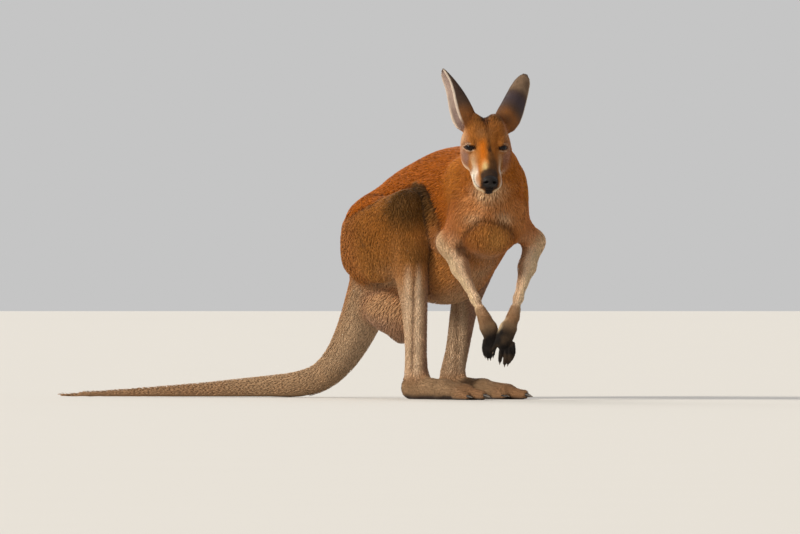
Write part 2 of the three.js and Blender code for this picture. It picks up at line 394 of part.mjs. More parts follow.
// ---------------------------------------------------------------- hands: a palm and five fingers, claws apart
function hand(arm, palm, radii, fingers) {
  const dir = unit(sub(palm, arm.wr)), w = arm.wr;
  const f = group([limb(mix(arm.el, w, 0.9), w, [12.5, 13], [14, 11], sideT), [limb(w, mix(w, palm, 0.5), [14, 11], [18, 11], sideT), 14], [ell(palm, dir, TURN(0, -1, 0), radii), 16]], 16);
  const lo = sub(f.lo, [12, 12, 12]), hi = add(f.hi, [12, 12, 12]);
  let man = keep(nets(f.d, lo, hi, 13), wrist(arm)); const claws = [];
  for (const pts of fingers) {
    const c = new THREE.CatmullRomCurve3(pts.slice(0, 3).map((p) => new THREE.Vector3(...TURN(...p)))), R = pts[3], rings = [];
    for (let k = 0; k <= 4; k++) {
      const t = k / 4, p = c.getPoint(t).toArray(), T = c.getTangent(t).toArray(); let S = unit(sub(sideT, mul(T, dot(sideT, T)))); const U = cross(T, S);
      const r = R * (k === 4 ? 0.55 : 1 - 0.22 * t);
      rings.push(Array.from({ length: 6 }, (_, i) => add(p, add(mul(S, r * Math.cos(Math.PI * i / 3)), mul(U, r * 0.9 * Math.sin(Math.PI * i / 3))))));
    }
    man = man.add(loft(rings));
    const tip = c.getPoint(1).toArray(), T = unit(add(c.getTangent(1).toArray(), TURN(0, 0.25, -0.25)));
    claws.push({ at: add(tip, mul(T, 0.4)), T, len: 12, r: R * 0.45, bend: TURN(0, 3, 0) });
  }
  return { man, claws };
}
const handR = hand(armR, TURN(231, -484, 172), [34, 20, 11.5], [
  [[219, -487, 152], [216, -492, 132], [218, -486, 116], 6], [[226, -487, 148], [223, -494, 127], [225, -487, 110], 6.2], [[233, -487, 147], [231, -494, 126], [232, -487, 110], 6.2],
  [[240, -486, 150], [239, -492, 130], [239, -486, 116], 6], [[247, -484, 168], [250, -488, 152], [248, -484, 139], 5.6]]);
const handL = hand(armL, TURN(270, -518, 164), [38, 22, 12], [
  [[288, -520, 144], [290, -526, 122], [285, -521, 105], 6.2], [[280, -521, 138], [281, -529, 114], [277, -523, 96], 6.4], [[271, -521, 136], [270, -529, 112], [268, -523, 94], 6.4],
  [[262, -521, 138], [258, -528, 117], [256, -522, 100], 6.2], [[253, -520, 158], [245, -524, 142], [240, -519, 128], 5.8]]);
solids.hand_r = handR.man; solids.hand_l = handL.man;

// ---------------------------------------------------------------- head, eyes and ears
const ball = (s, r) => fromGeometry(new THREE.IcosahedronGeometry(r, 1).translate(...H(s * EYE_U, -3, -5)));
let headMan = keep(nets(nape, sub(HO, [130, 140, 155]), add(HO, [140, 130, 110]), 15), P.head, P.neck);
for (const [n, s] of [['l', 1], ['r', -1]]) { headMan = headMan.subtract(ball(s, EYE_R + GAP)); solids['eye_' + n] = ball(s, EYE_R); }
// An ear is a rolled leaf: along it, [place, radius of the roll, half angle of the roll, how much deeper than wide].
const EAR = [[-0.12, 18, 150, 1], [0, 25, 138, 1], [0.12, 30, 119, 1.15], [0.28, 32, 99, 1.35], [0.45, 31.5, 83, 1.5], [0.62, 30, 72, 1.4], [0.77, 28, 63, 1.2], [0.89, 25, 56, 1.1], [0.965, 19, 50, 1.05], [1, 10, 45, 1]];
function ear(base, tip, open, sway) {
  const A = unit(sub(tip, base)), L = len(sub(tip, base)), O = unit(sub(open, mul(A, dot(open, A)))), W = cross(A, O), N = 5, verts = [], tris = [];
  for (const [t, r, phi, deep] of EAR) {
    const c = add(add(base, mul(A, t * L)), mul(O, -2 - sway * Math.sin(Math.PI * Math.max(0, t)))), th = 4.6 - 2.2 * Math.max(0, t);
    const at = (i, rr, f) => { const q = (1 - 2 * i / (N - 1)) * phi * f * rad; return add(c, add(mul(O, deep * (r - rr * Math.cos(q))), mul(W, rr * Math.sin(q)))); };
    for (let i = 0; i < N; i++) verts.push(at(i, r, 1));
    for (let i = 0; i < N; i++) verts.push(at(N - 1 - i, Math.max(r - th, 0.8), 0.96));
  }
  const n = 2 * N, R = EAR.length;
  for (let r = 0; r + 1 < R; r++) for (let i = 0; i < n; i++) { const p = r * n + i, q = r * n + (i + 1) % n; tris.push([p, q, q + n], [p, q + n, p + n]); }
  for (let i = 0; i + 1 < N; i++) {
    const o = i, o2 = i + 1, k = n - 1 - i, k2 = n - 2 - i, e = (R - 1) * n;
    tris.push([o, k2, o2], [o, k, k2], [e + o, e + o2, e + k2], [e + o, e + k2, e + k]);
  }
  return solid(verts, tris);
}
function claw(at, T, length, r, bend) {
  let S = unit(cross(T, [0.3, 0.5, 0.8])); const U = cross(T, S);
  return loft([-0.3, 0.5, 1].map((t) => {
    const c = add(at, add(mul(T, t * length), mul(bend, Math.max(0, t) ** 2))), q = r * (1 - 0.86 * Math.max(0, t) ** 1.3);
    return Array.from({ length: 5 }, (_, i) => add(c, add(mul(S, q * Math.cos(Math.PI * i / 2.5)), mul(U, q * Math.sin(Math.PI * i / 2.5)))));
  }));
}
// The same solid with every corner moved outwards along its normal.
function swell(man, g) {
  const { verts, tris } = largest(man), N = verts.map(() => [0, 0, 0]);
  for (const t of tris) { const n = cross(sub(verts[t[1]], verts[t[0]]), sub(verts[t[2]], verts[t[0]])); for (const i of t) N[i] = add(N[i], n); }
  return solid(verts.map((v, i) => add(v, mul(unit(N[i]), g))), tris);
}
const headFat = swell(headMan, 0.45), neckFat = swell(solids.neck, 0.45);
const earBaseR = H(-17, -70, 24), earBaseL = H(41, -70, 24);
const earTipR = add(earBaseR, mul(unit(TURN(-86, 42, 134)), EAR_LEN)), earTipL = add(earBaseL, mul(unit(TURN(63, 88, 121)), EAR_LEN));
solids.ear_r = ear(earBaseR, earTipR, TURN(-0.974, -0.225, 0), 10).subtract(headFat).subtract(neckFat);
solids.ear_l = ear(earBaseL, earTipL, TURN(0.3, 0.95, 0), 4).subtract(headFat).subtract(neckFat);
solids.head = headMan;

// ---------------------------------------------------------------- claws
const fatHand = { r: swell(solids.hand_r, 0.45), l: swell(solids.hand_l, 0.45) };
for (const [s, h] of [['r', handR], ['l', handL]]) h.claws.forEach((c, i) => {
  solids[`claw_hand_${s}${i + 1}`] = claw(c.at, c.T, c.len, c.at ? 3 : 3, c.bend).subtract(fatHand[s]);
});
for (const [s, sg, [a0, b0]] of [['r', -1, [-76, 178]], ['l', 1, [75, 132]]]) {
  const fat = swell(solids['foot_' + s], 0.45);
  const toes = [[a0 - sg * 20.5, b0 + 238, 9.5, 17, 3], [a0 - sg * 14.5, b0 + 243, 9.5, 17, 3], [a0 + sg * 10, b0 + 292, 12.5, 32, 6.6], [a0 + sg * 34, b0 + 256, 10, 24, 4.6]];
  toes.forEach(([a, b, z, l, r], i) => {
    solids[`claw_foot_${s}${i + 2}`] = keep(claw(AB(a, b, z), AB(0, 0.985, -0.12), l, r, AB(0, 0, -l * 0.06)), P.floor).subtract(fat);
  });
}

// ---------------------------------------------------------------- the scene graph
const COAT = { trunk: 0x9c5526, neck: 0xa85a28, head: 0xa0602f, tail_root: 0x96705a, tail_mid: 0x8f7460, tail_tip: 0x8f7460, thigh: 0x7f5432, shank: 0x8d7059, foot: 0x6f5c4c,
  upper_arm: 0xb0703c, forearm: 0xc2a078, hand: 0x241c18, ear: 0x5a4336, eye: 0x1a0f0a, claw: 0x1d1916 };
const group3 = new THREE.Group(); group3.name = 'red_kangaroo';
for (const [name, man] of Object.entries(solids)) {
  const { verts, tris } = largest(man), g = new THREE.BufferGeometry();
  g.setAttribute('position', new THREE.Float32BufferAttribute(verts.map((v) => [v[0] - CENTRE[0], v[1] - CENTRE[1], v[2]]).flat(), 3));
  g.setIndex(tris.flat()); g.computeVertexNormals();
  const key = Object.keys(COAT).find((k) => name === k) || Object.keys(COAT).find((k) => name.startsWith(k));
  const mesh = new THREE.Mesh(g, new THREE.MeshStandardMaterial({ color: COAT[key], roughness: key === 'eye' ? 0.08 : key === 'claw' ? 0.4 : 0.9, metalness: 0 }));
  mesh.name = name; group3.add(mesh);
}
export default group3;
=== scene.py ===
"""Red kangaroo, life size: one skin with solid tufts of coat, eyes and claws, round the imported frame."""
import math

import bmesh
import bpy
import numpy as np
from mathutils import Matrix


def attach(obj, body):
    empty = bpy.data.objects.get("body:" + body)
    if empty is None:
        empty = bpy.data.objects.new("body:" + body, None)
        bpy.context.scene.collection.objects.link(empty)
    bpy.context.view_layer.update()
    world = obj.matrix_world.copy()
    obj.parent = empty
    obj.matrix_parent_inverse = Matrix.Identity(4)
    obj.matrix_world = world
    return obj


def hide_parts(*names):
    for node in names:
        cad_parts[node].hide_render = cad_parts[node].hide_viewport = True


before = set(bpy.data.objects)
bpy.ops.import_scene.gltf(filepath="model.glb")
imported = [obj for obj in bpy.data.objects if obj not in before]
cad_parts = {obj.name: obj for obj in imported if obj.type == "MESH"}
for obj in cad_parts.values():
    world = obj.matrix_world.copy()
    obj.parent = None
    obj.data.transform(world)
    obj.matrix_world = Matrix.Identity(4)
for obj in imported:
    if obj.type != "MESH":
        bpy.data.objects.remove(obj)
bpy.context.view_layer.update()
SEED = 11
rng = np.random.default_rng(SEED)

# ------------------------------------------------------------------ sizes (mm, before the origin is moved)
LOOK = math.radians(37)
HEAD_PITCH, HEAD_YAW = math.radians(38), math.radians(6.8)
EYE_R, EYE_U, EYE_V, EYE_W = 14.5, 38.0, -3.0, -5.0
EAR_LEN = 163.0
CENTRE = np.array([-194.3, -29.1, 0.0])
CT, ST = math.cos(LOOK), math.sin(LOOK)


def unit(v):
    v = np.asarray(v, float)
    return v / np.linalg.norm(v)


def ab(a, b, z):
    """left, forward, up"""
    return np.array([a, -b, z], float)


def turn(X, Y, z):
    """the turned frame of the fore part: across, back, up"""
    return np.array([CT * X + ST * Y, -(ST * X - CT * Y), z], float)


def to_turn(p):
    return np.stack([CT * p[..., 0] - ST * p[..., 1], ST * p[..., 0] + CT * p[..., 1], p[..., 2]], -1)


def metres(p):
    return (np.asarray(p, float) - CENTRE) * 0.001


def step(x, lo, hi):
    t = np.clip((x - lo) / (hi - lo), 0, 1)
    return t * t * (3 - 2 * t)


def bell(x, mid, half):
    return np.exp(-(((x - mid) / half) ** 2))


# ------------------------------------------------------------------ field primitives
class Ell:
    def __init__(s, c, F, up, r):
        F = unit(F)
        S = unit(np.cross(up, F))
        s.c, s.R, s.r = np.asarray(c, float), np.array([F, S, np.cross(F, S)]), np.asarray(r, float)
        e = np.sqrt(((s.R * s.r[:, None]) ** 2).sum(0))
        s.lo, s.hi = s.c - e, s.c + e

    def d(s, p):
        a = ((p - s.c) @ s.R.T) / s.r
        b = a / s.r
        k0, k1 = np.sqrt((a * a).sum(1)), np.sqrt((b * b).sum(1))
        return k0 * (k0 - 1) / np.maximum(k1, 1e-9)


class Chain:
    """A row of elliptical stations: x, y, z, half width, half height above, below, side x, y, z."""

    def __init__(s, rows, n=3, cap0=1.0, cap1=1.0):
        A = np.array(rows, float)
        if n > 1 and len(A) > 2:
            E = np.vstack([2 * A[0] - A[1], A, 2 * A[-1] - A[-2]])
            out = []
            for i in range(1, len(E) - 2):
                P0, P1, P2, P3 = E[i - 1], E[i], E[i + 1], E[i + 2]
                for k in range(n):
                    t = k / n
                    out.append(0.5 * ((2 * P1) + (-P0 + P2) * t + (2 * P0 - 5 * P1 + 4 * P2 - P3) * t * t + (-P0 + 3 * P1 - 3 * P2 + P3) * t**3))
            out.append(A[-1])
            A = np.array(out)
        s.A, s.cap = A, (cap0, cap1)
        P, rm = A[:, :3], A[:, 3:6].max(1)[:, None]
        s.lo, s.hi = (P - rm).min(0), (P + rm).max(0)
        s.seg = []
        for i in range(len(A) - 1):
            L = P[i + 1] - P[i]
            T = unit(L)
            S = A[i, 6:9] + A[i + 1, 6:9]
            S = unit(S - (S @ T) * T)
            s.seg.append((P[i], L, L @ L, T, S, np.cross(T, S)))

    def d(s, p, lie=False):
        best = np.full(len(p), 1e9)
        n = len(s.seg)
        way = np.zeros((len(p), 3)) if lie else None
        for i, (a, L, l2, T, S, U) in enumerate(s.seg):
            A, B = s.A[i], s.A[i + 1]
            q = p - a
            t = np.clip(q @ L / l2, 0, 1)
            q = q - t[:, None] * L
            w = A[3] + (B[3] - A[3]) * t
            v = q @ U
            h = np.where(v > 0, A[4] + (B[4] - A[4]) * t, A[5] + (B[5] - A[5]) * t)
            cap = np.minimum(w, h) * (s.cap[0] if i == 0 else 1.0)
            if i == n - 1:
                cap = np.where(t >= 1, np.minimum(w, h) * s.cap[1], cap)
            x, y, z = (q @ S) / w, v / h, (q @ T) / cap
            k0, k1 = np.sqrt(x * x + y * y + z * z), np.sqrt((x / w) ** 2 + (y / h) ** 2 + (z / cap) ** 2)
            dd = np.where(k1 < 1e-9, -np.minimum(w, h), k0 * (k0 - 1) / np.maximum(k1, 1e-9))
            if lie:
                way[dd < best] = T
            best = np.minimum(best, dd)
        return (best, way) if lie else best


def limb(a, b, ra, rb, side=(1, 0, 0), **k):
    ra, rb = [r if len(r) == 3 else (r[0], r[1], r[1]) for r in (ra, rb)]
    return Chain([[*a, *ra, *side], [*b, *rb, *side]], n=1, **k)


def smin(a, b, k):
    h = np.maximum(k - np.abs(a - b), 0) / k
    return np.minimum(a, b) - h * h * k * 0.25


def smax(a, b, k):
    return -smin(-a, -b, k)


def near(o, p):
    dl = np.maximum(np.maximum(o.lo - p, p - o.hi), 0)
    bd = np.sqrt((dl * dl).sum(1))
    m = bd < 60
    if m.any():
        bd[m] = o.d(p[m])
    return bd


class Group:
    """Smooth union of items; (item, k) gives that item its own blend."""

    def __init__(s, items, k):
        s.items = [(i if isinstance(i, tuple) else (i, k)) for i in items]
        s.lo = np.min([i.lo for i, _ in s.items], 0)
        s.hi = np.max([i.hi for i, _ in s.items], 0)

    def d(s, p):
        out = near(s.items[0][0], p)
        for o, k in s.items[1:]:
            out = smin(out, near(o, p), k)
        return out


# ------------------------------------------------------------------ trunk and neck
def st(a, b, z, w, hu, hd, yaw=0):
    r = math.radians(yaw)
    return [a, -b, z, w, hu, hd, math.cos(r), -math.sin(r), 0]


def ball(a, b, z, F, up, r):
    return Ell(ab(a, b, z), ab(*F), ab(*up), r)


trunk = Chain([
    st(0, -112, 372, 58, 62, 72), st(0, -72, 400, 84, 86, 106), st(0, -10, 432, 104, 112, 150), st(0, 70, 450, 120, 140, 190),
    st(-3, 150, 462, 130, 156, 220), st(-12, 240, 472, 128, 170, 224, 4), st(-30, 340, 486, 112, 164, 178, 10),
    st(-60, 430, 508, 92, 143, 154, 16), st(-97, 515, 526, 66, 114, 130, 24), st(-128, 572, 545, 56, 86, 102, 26)], 4, 0.9, 0.8)
neck = Chain([
    st(-105, 520, 560, 66, 84, 100, 26), st(-142, 580, 578, 60, 70, 88, 28), st(-172, 620, 610, 54, 56, 72, 32),
    st(-205, 645, 655, 48, 44, 56, 37)], 4)
under = ball(0, -25, 225, (0, 1, -0.25), (0, 0, 1), (85, 62, 62))
scrotum = ball(0, 14, 186, (0, 1, 0), (0, 0, 1), (36, 33, 46))
chest = ball(-105, 520, 455, (-0.3, 0.9, 0.1), (0, 0, 1), (75, 78, 80))
barrel = Group([trunk, neck, (under, 60), (scrotum, 26), (chest, 60)], 70)


# ------------------------------------------------------------------ hind legs
class Hind:
    def __init__(s, hip, knee, shank, ankle, g):
        (ha, hb, hz), (ka, kb, kz) = hip, knee
        m = lambda f, h: (ha + (ka - ha) * f, -(hb + (kb - hb) * h))
        s.thigh = Chain([
            [ha * 0.78, -(hb - 66), hz - 112, 50, 62, 66, 1, 0, 0], [ha * 0.95, -(hb - 14), hz - 62, 60, 100, 104, 1, 0, 0],
            [*m(0.45, 0.38), hz - 50, 60, 104, 118, 1, 0, 0], [*m(0.8, 0.72), hz - 10, 55, 72, 100, 1, 0, 0],
            [ka, -(kb - 8), kz - 6, 48, 50, 56, 1, 0, 0]], 4, 0.9, 0.95)
        s.shank = Chain([[a, -b, z, w, f, r, 1, 0, 0] for a, b, z, w, f, r in shank], 4)
        a0, b0 = ankle
        s.foot = Group([
            limb(ab(a0, b0 - 28, 28), ab(a0, b0 + 10, 34), (24, 29, 31), (24, 34, 37)),
            limb(ab(a0, b0 + 10, 30), ab(a0 + g * 4, b0 + 120, 25), (23, 30, 33), (25, 25, 28)),
            limb(ab(a0 + g * 4, b0 + 120, 25), ab(a0 + g * 8, b0 + 215, 19), (25, 25, 28), (30, 20, 22)),
            limb(ab(a0 + g * 8, b0 + 215, 17), ab(a0 + g * 10, b0 + 290, 13), (15, 18, 20), (11, 12, 15)),
            limb(ab(a0 + g * 24, b0 + 200, 14), ab(a0 + g * 33, b0 + 255, 10), (11, 14, 17), (8, 9, 12)),
            limb(ab(a0 - g * 14, b0 + 195, 13), ab(a0 - g * 18, b0 + 240, 9), (8, 12, 15), (6, 8, 10))], 16)
        s.all = Group([s.thigh, (s.shank, 34), (s.foot, 24)], 34)
        s.lo, s.hi, s.g, s.ankle, s.knee, s.hip = s.all.lo, s.all.hi, g, ankle, knee, hip


leg_r = Hind((-92, 8, 468), (-148, 247, 486), [
    (-148, 245, 478, 52, 56, 56), (-136, 248, 415, 54, 62, 72), (-128, 232, 350, 42, 50, 66), (-114, 213, 290, 34, 44, 56),
    (-100, 203, 228, 27, 38, 48), (-87, 190, 130, 24, 33, 38), (-76, 178, 66, 25, 34, 42)], (-76, 178), -1)
leg_l = Hind((90, -20, 468), (132, 215, 486), [
    (130, 212, 478, 52, 56, 56), (124, 208, 415, 54, 60, 72), (116, 190, 350, 42, 50, 66), (106, 170, 290, 34, 44, 56),
    (96, 155, 228, 28, 38, 50), (84, 142, 130, 25, 34, 40), (75, 132, 66, 26, 34, 42)], (75, 132), 1)

# ------------------------------------------------------------------ tail
tail = Chain([
    [0, 74, 345, 64, 60, 72, 1, 0, 0], [0, 112, 285, 62, 62, 64, 1, 0, 0], [0, 154, 218, 56, 57, 55, 1, 0, 0],
    [-3, 198, 152, 49, 50, 49, 1, 0, 0], [-12, 242, 97, 43, 43, 43, 1, 0.1, 0], [-34, 286, 54, 38, 37, 39, 0.95, 0.3, 0],
    [-80, 326, 35.5, 34, 37, 33, 0.8, 0.6, 0], [-140, 372, 29.5, 29.5, 31, 28.5, 0.6, 0.8, 0],
    [-215, 430, 24, 24, 25.5, 23.5, 0.6, 0.8, 0], [-295, 490, 19, 19, 20.5, 18.5, 0.6, 0.8, 0],
    [-375, 550, 15, 15, 16.5, 14.5, 0.6, 0.8, 0], [-450, 607, 11.5, 11.5, 13, 11, 0.6, 0.8, 0],
    [-520, 662, 9, 9, 10.5, 8.5, 0.6, 0.8, 0], [-572, 704, 6.5, 6.5, 8, 6, 0.6, 0.8, 0]], 3)

# ------------------------------------------------------------------ fore limbs and hands
SIDE_T = tuple(turn(1, 0, 0))


class Fore:
    def __init__(s, sh, el, wr, palm, radii, fingers, blade):
        m = lambda a, b, t: a + (b - a) * t
        f, g = m(el, wr, 0.33), m(el, wr, 0.74)
        s.sh, s.el, s.wr, s.palm, s.blade = sh, el, wr, palm, blade
        s.upper = limb(sh, el, (40, 48), (25, 29), SIDE_T)
        s.lower = Group([limb(el, f, (27, 29, 30), (21, 21, 24), SIDE_T), limb(f, g, (21, 21, 24), (10.5, 12), SIDE_T),
                         limb(g, wr, (10.5, 12), (12.5, 10.5), SIDE_T), limb(el + np.array([0, 0, 6.0]), m(el, wr, 0.08), (17, 20), (15, 18), SIDE_T)], 16)
        s.hand_dir = unit(palm - wr)
        s.fingers = []
        for a, b, c, R in fingers:
            A, B, C = turn(*a), turn(*b), turn(*c)
            s.fingers.append(Chain([[*q, R * k, R * k * 0.9, R * k * 0.9, *SIDE_T] for q, k in ((A, 1.05), (B, 0.98), (C, 0.74))], 3, 1, 0.9))
        s.hand = Group([limb(m(el, wr, 0.9), wr, (11, 11.5), (12.5, 10.5), SIDE_T), (limb(wr, m(wr, palm, 0.5), (12.5, 10.5), (18, 11), SIDE_T), 14),
                        (Ell(palm, s.hand_dir, turn(0, -1, 0), radii), 16)] + [(q, 3.5) for q in s.fingers], 16)
        s.top = Group([blade, (s.upper, 50)], 20)
        s.all = Group([blade, (s.upper, 50), (s.lower, 16), (s.hand, 12)], 20)
        s.lo, s.hi = s.all.lo, s.all.hi


arm_r = Fore(turn(190, -475, 486), turn(126, -402, 398), turn(217, -482, 208), turn(231, -484, 172), (34, 20, 11.5), [
    ((219, -487, 152), (216, -492, 132), (218, -486, 116), 6), ((226, -487, 148), (223, -494, 127), (225, -487, 110), 6.2),
    ((233, -487, 147), (231, -494, 126), (232, -487, 110), 6.2), ((240, -486, 150), (239, -492, 130), (239, -486, 116), 6),
    ((247, -484, 168), (250, -488, 152), (248, -484, 139), 5.6)], ball(-134, 448, 545, (-0.3, 0.9, -0.35), (0, 0, 1), (80, 30, 58)))
arm_l = Fore(turn(262, -468, 486), turn(344, -392, 402), turn(289, -505, 210), turn(270, -518, 164), (38, 22, 12), [
    ((288, -520, 144), (290, -526, 122), (285, -521, 105), 6.2), ((280, -521, 138), (281, -529, 114), (277, -523, 96), 6.4),
    ((271, -521, 136), (270, -529, 112), (268, -523, 94), 6.4), ((262, -521, 138), (258, -528, 117), (256, -522, 100), 6.2),
    ((253, -520, 158), (245, -524, 142), (240, -519, 128), 5.8)], ball(-18, 498, 545, (-0.3, 0.9, -0.35), (0, 0, 1), (80, 30, 58)))

# ------------------------------------------------------------------ head, in its own frame: u left, v along the muzzle, w up
cp, sp, cy, sy = math.cos(HEAD_PITCH), math.sin(HEAD_PITCH), math.cos(HEAD_YAW), math.sin(HEAD_YAW)
HF, HL = turn(sy * cp, -cy * cp, -sp), turn(cy, sy, 0)
HU, HO = np.cross(HF, HL), turn(219.6, -690, 641)
HR = np.array([HL, HF, HU])


def hp(u, v, w):
    return HO + u * HL + v * HF + w * HU


def hdir(u, v, w):
    return u * HL + v * HF + w * HU


def hball(u, v, w, r, F=(0, 1, 0), up=(0, 0, 1)):
    return Ell(hp(u, v, w), hdir(*F), hdir(*up), r)


def hs(v, w, wd, hu, hd):
    return [*hp(0, v, w), wd, hu, hd, *HL]


skull = Chain([hs(-88, -16, 37, 31, 42), hs(-60, -22, 49, 51, 50), hs(-35, -28, 54, 62, 58), hs(-10, -30, 47, 58, 57),
               hs(15, -31, 39, 49, 50), hs(50, -33, 32, 41, 37), hs(85, -34, 28, 33, 27), hs(108, -34, 24, 25, 19)], 4, 0.9, 0.75)
jaw = Chain([hs(-42, -52, 38, 28, 33), hs(0, -58, 38, 24, 29), hs(45, -58, 37, 20, 23), hs(76, -56, 34, 18, 17), hs(96, -56, 23, 13, 14), hs(104, -56, 14, 11, 12)], 3)
head_items = [skull, (jaw, 16)]
for s_ in (1, -1):
    head_items += [
        (hball(s_ * 48, -34, -14, (34, 10, 14), (s_ * 0.15, 1, 0.1)), 14), (hball(s_ * 40, -30, -50, (34, 16, 30)), 18),
        (hball(s_ * 37, -5, 14, (20, 9, 7), (-s_ * 0.1, 1, -0.1)), 9), (hball(s_ * 20, 80, -50, (22, 15, 18)), 9),
        (hball(s_ * 22, -66, 28, (18, 18, 22), (0, 1, 0), (s_ * 0.35, -0.2, 1)), 16), (hball(s_ * 18, 94, -33, (25, 15.5, 16), (0, 1, -0.12)), 9),
        (hball(s_ * 30, -50, 20, (26, 20, 22)), 18)]
head_items += [(hball(0, 117, -19, (13, 19, 12)), 7), (hball(0, 99, -55, (12, 13, 9)), 6)]
head_bulk = Group(head_items, 20)
EYE_AT = {s_: hp(s_ * EYE_U, EYE_V, EYE_W) for s_ in (1, -1)}
# The gap between the lids: its axis, its long way and its upright way.
LID = {}
for s_ in (1, -1):
    e = unit(hdir(s_ * 0.5, 0.68, 0.53))
    lw = unit(hdir(s_ * 0.77, -0.50, -0.31))
    lw = unit(lw - (lw @ e) * e)
    LID[s_] = np.array([e, lw, np.cross(e, lw) * s_])


def lid_place(p, s_):
    """radius, long angle and upright angle (degrees) of points about an eyeball"""
    q = (p - EYE_AT[s_]) @ LID[s_].T
    r = np.sqrt((q * q).sum(1))
    return r, np.degrees(np.arctan2(q[:, 1], q[:, 0])), np.degrees(np.arcsin(np.clip(q[:, 2] / np.maximum(r, 1e-6), -1, 1)))


def lid_gap(p, s_):
    """millimetres outside the edge of the gap between the lids (negative in the gap)"""
    r, al, be = lid_place(p, s_)
    x = np.clip((al - 2) / 62, -1, 1)
    arch = np.sqrt(np.maximum(1 - x * x, 0))
    top, low = 15 * arch**1.1 - 1 - 1.5 * x, -21 * arch**1.2 - 1 + 3.5 * x
    edge = np.maximum(np.maximum(be - top, low - be), (np.abs(al - 2) - 62))
    return edge * np.radians(1) * np.maximum(r, 8)


# ------------------------------------------------------------------ ears: a rolled leaf each
EAR_T = np.array([[-0.16, 16, 156, 1], [-0.12, 18, 150, 1], [0, 25, 138, 1], [0.12, 30, 119, 1.15], [0.28, 32, 99, 1.35], [0.45, 31.5, 83, 1.5], [0.62, 30, 72, 1.4], [0.77, 28, 63, 1.2], [0.89, 25, 56, 1.1], [0.965, 19, 50, 1.05], [1, 10, 45, 1]])


class Ear:
    def __init__(s, base, way, opening, sway):
        s.base, s.A, s.sway = base, unit(way), sway
        s.O = unit(opening - (opening @ s.A) * s.A)
        s.W = np.cross(s.A, s.O)
        end = base + s.A * EAR_LEN
        s.lo, s.hi = np.minimum(base, end) - 60, np.maximum(base, end) + 60

    def place(s, p):
        q = p - s.base
        t = (q @ s.A) / EAR_LEN
        tc = np.clip(t, -0.16, 1)
        rr, phi = np.interp(tc, EAR_T[:, 0], EAR_T[:, 1]), np.radians(np.interp(tc, EAR_T[:, 0], EAR_T[:, 2]))
        x = (q @ s.O + 2 + s.sway * np.sin(np.pi * np.clip(tc, 0, 1))) / np.interp(tc, EAR_T[:, 0], EAR_T[:, 3]) - rr
        return t, tc, x, q @ s.W, rr, phi

    def d(s, p):
        t, tc, x, y, rr, phi = s.place(p)
        half = 2.2
        rm = rr - half
        ang = np.arctan2(np.abs(y), -x)
        on = np.abs(np.hypot(x, y) - rm)
        end = np.hypot(x + rm * np.cos(phi), np.abs(y) - rm * np.sin(phi))
        d2 = np.where(ang <= phi, on, end)
        return np.hypot(d2, (t - tc) * EAR_LEN) - half

    def inner(s, p):
        """+1 on the hollow side of the leaf, -1 on its back; and how far along and across (0 middle, 1 rim)"""
        t, tc, x, y, rr, phi = s.place(p)
        half = 2.2
        return np.clip((rr - half - np.hypot(x, y)) / 1.2, -1, 1), t, np.arctan2(np.abs(y), -x) / phi


BASE_R, BASE_L = hp(-17, -70, 24), hp(41, -70, 24)
ear_r = Ear(BASE_R, turn(-86, 42, 134), turn(-0.974, -0.225, 0), 10)
ear_l = Ear(BASE_L, turn(63, 88, 121), turn(0.3, 0.95, 0), 4)


def head_d(p):
    d = near(head_bulk, p)
    m = d < 12
    if m.any():
        q = p[m]
        x = d[m]
        hq = (q - HO) @ HR.T
        u, v, w = hq[:, 0], hq[:, 1], hq[:, 2]
        au = np.abs(u)
        # lids: a low dome over each eyeball, a fold above it, and the gap between them
        for s_ in (1, -1):
            r, al, be = lid_place(q, s_)
            x = smin(x, np.maximum(r - 16.7, -(al + 200)), 5)
            fold = bell(be, 36, 5) * step(75 - np.abs(al), 0, 25) * bell(r, 18, 5)
            x = x + 1.5 * fold
            tear = bell(al, -72, 9) * bell(be, -8, 7) * bell(r, 16.5, 5)
            x = x + 1.8 * tear
            x = smax(x, -np.maximum(lid_gap(q, s_), 11 - r), 0.8)
        # mouth: a groove that runs back from under the nose, and rises a little at its corner
        wm = -47 + 0.0016 * np.maximum(95 - v, 0) ** 2 - 0.012 * au * au * step(v, 80, 112)
        x = x + 2.6 * bell(w, wm, 1.5) * step(v, 38, 52) * step(v, 128, 118)
        # groove from the nose to the lip, and the two nostrils
        x = x + 2.2 * bell(u, 0, 1.4) * step(v, 112, 118) * step(-w, 24, 30) * step(-w, 48, 44)
        for s_ in (1, -1):
            n = np.hypot(np.hypot((u - s_ * (9.5 + 0.25 * (v - 120))) / 1.0, (w + 18 + 0.45 * (au - 8)) / 0.62), (v - 126) / 2.6)
            x = smax(x, -(n - 4.4) * 0.7, 1.2)
        # whisker rows: shallow furrows on the pads
        x = x + 0.35 * np.cos((w + 0.35 * v) * 2 * np.pi / 7.5) * bell(v, 95, 16) * bell(au, 22, 9) * bell(w, -34, 9)
        # hollow in front of the eye and under the cheekbone
        x = x + 2.5 * bell(v, 26, 16) * bell(w, -8, 11) * bell(au, 33, 10) + 2.0 * bell(v, 14, 24) * bell(w, -38, 10) * bell(au, 38, 12)
        d[m] = x
    return d


# ------------------------------------------------------------------ the regions of the coat
REG = ["trunk", "neck", "under", "scrotum", "chest", "thigh_r", "thigh_l", "shank_r", "shank_l", "foot_r", "foot_l", "tail", "blade_r", "blade_l",
       "upper_r", "upper_l", "fore_r", "fore_l", "hand_r", "hand_l", "head", "ear_r", "ear_l"]
RI = {n: i for i, n in enumerate(REG)}
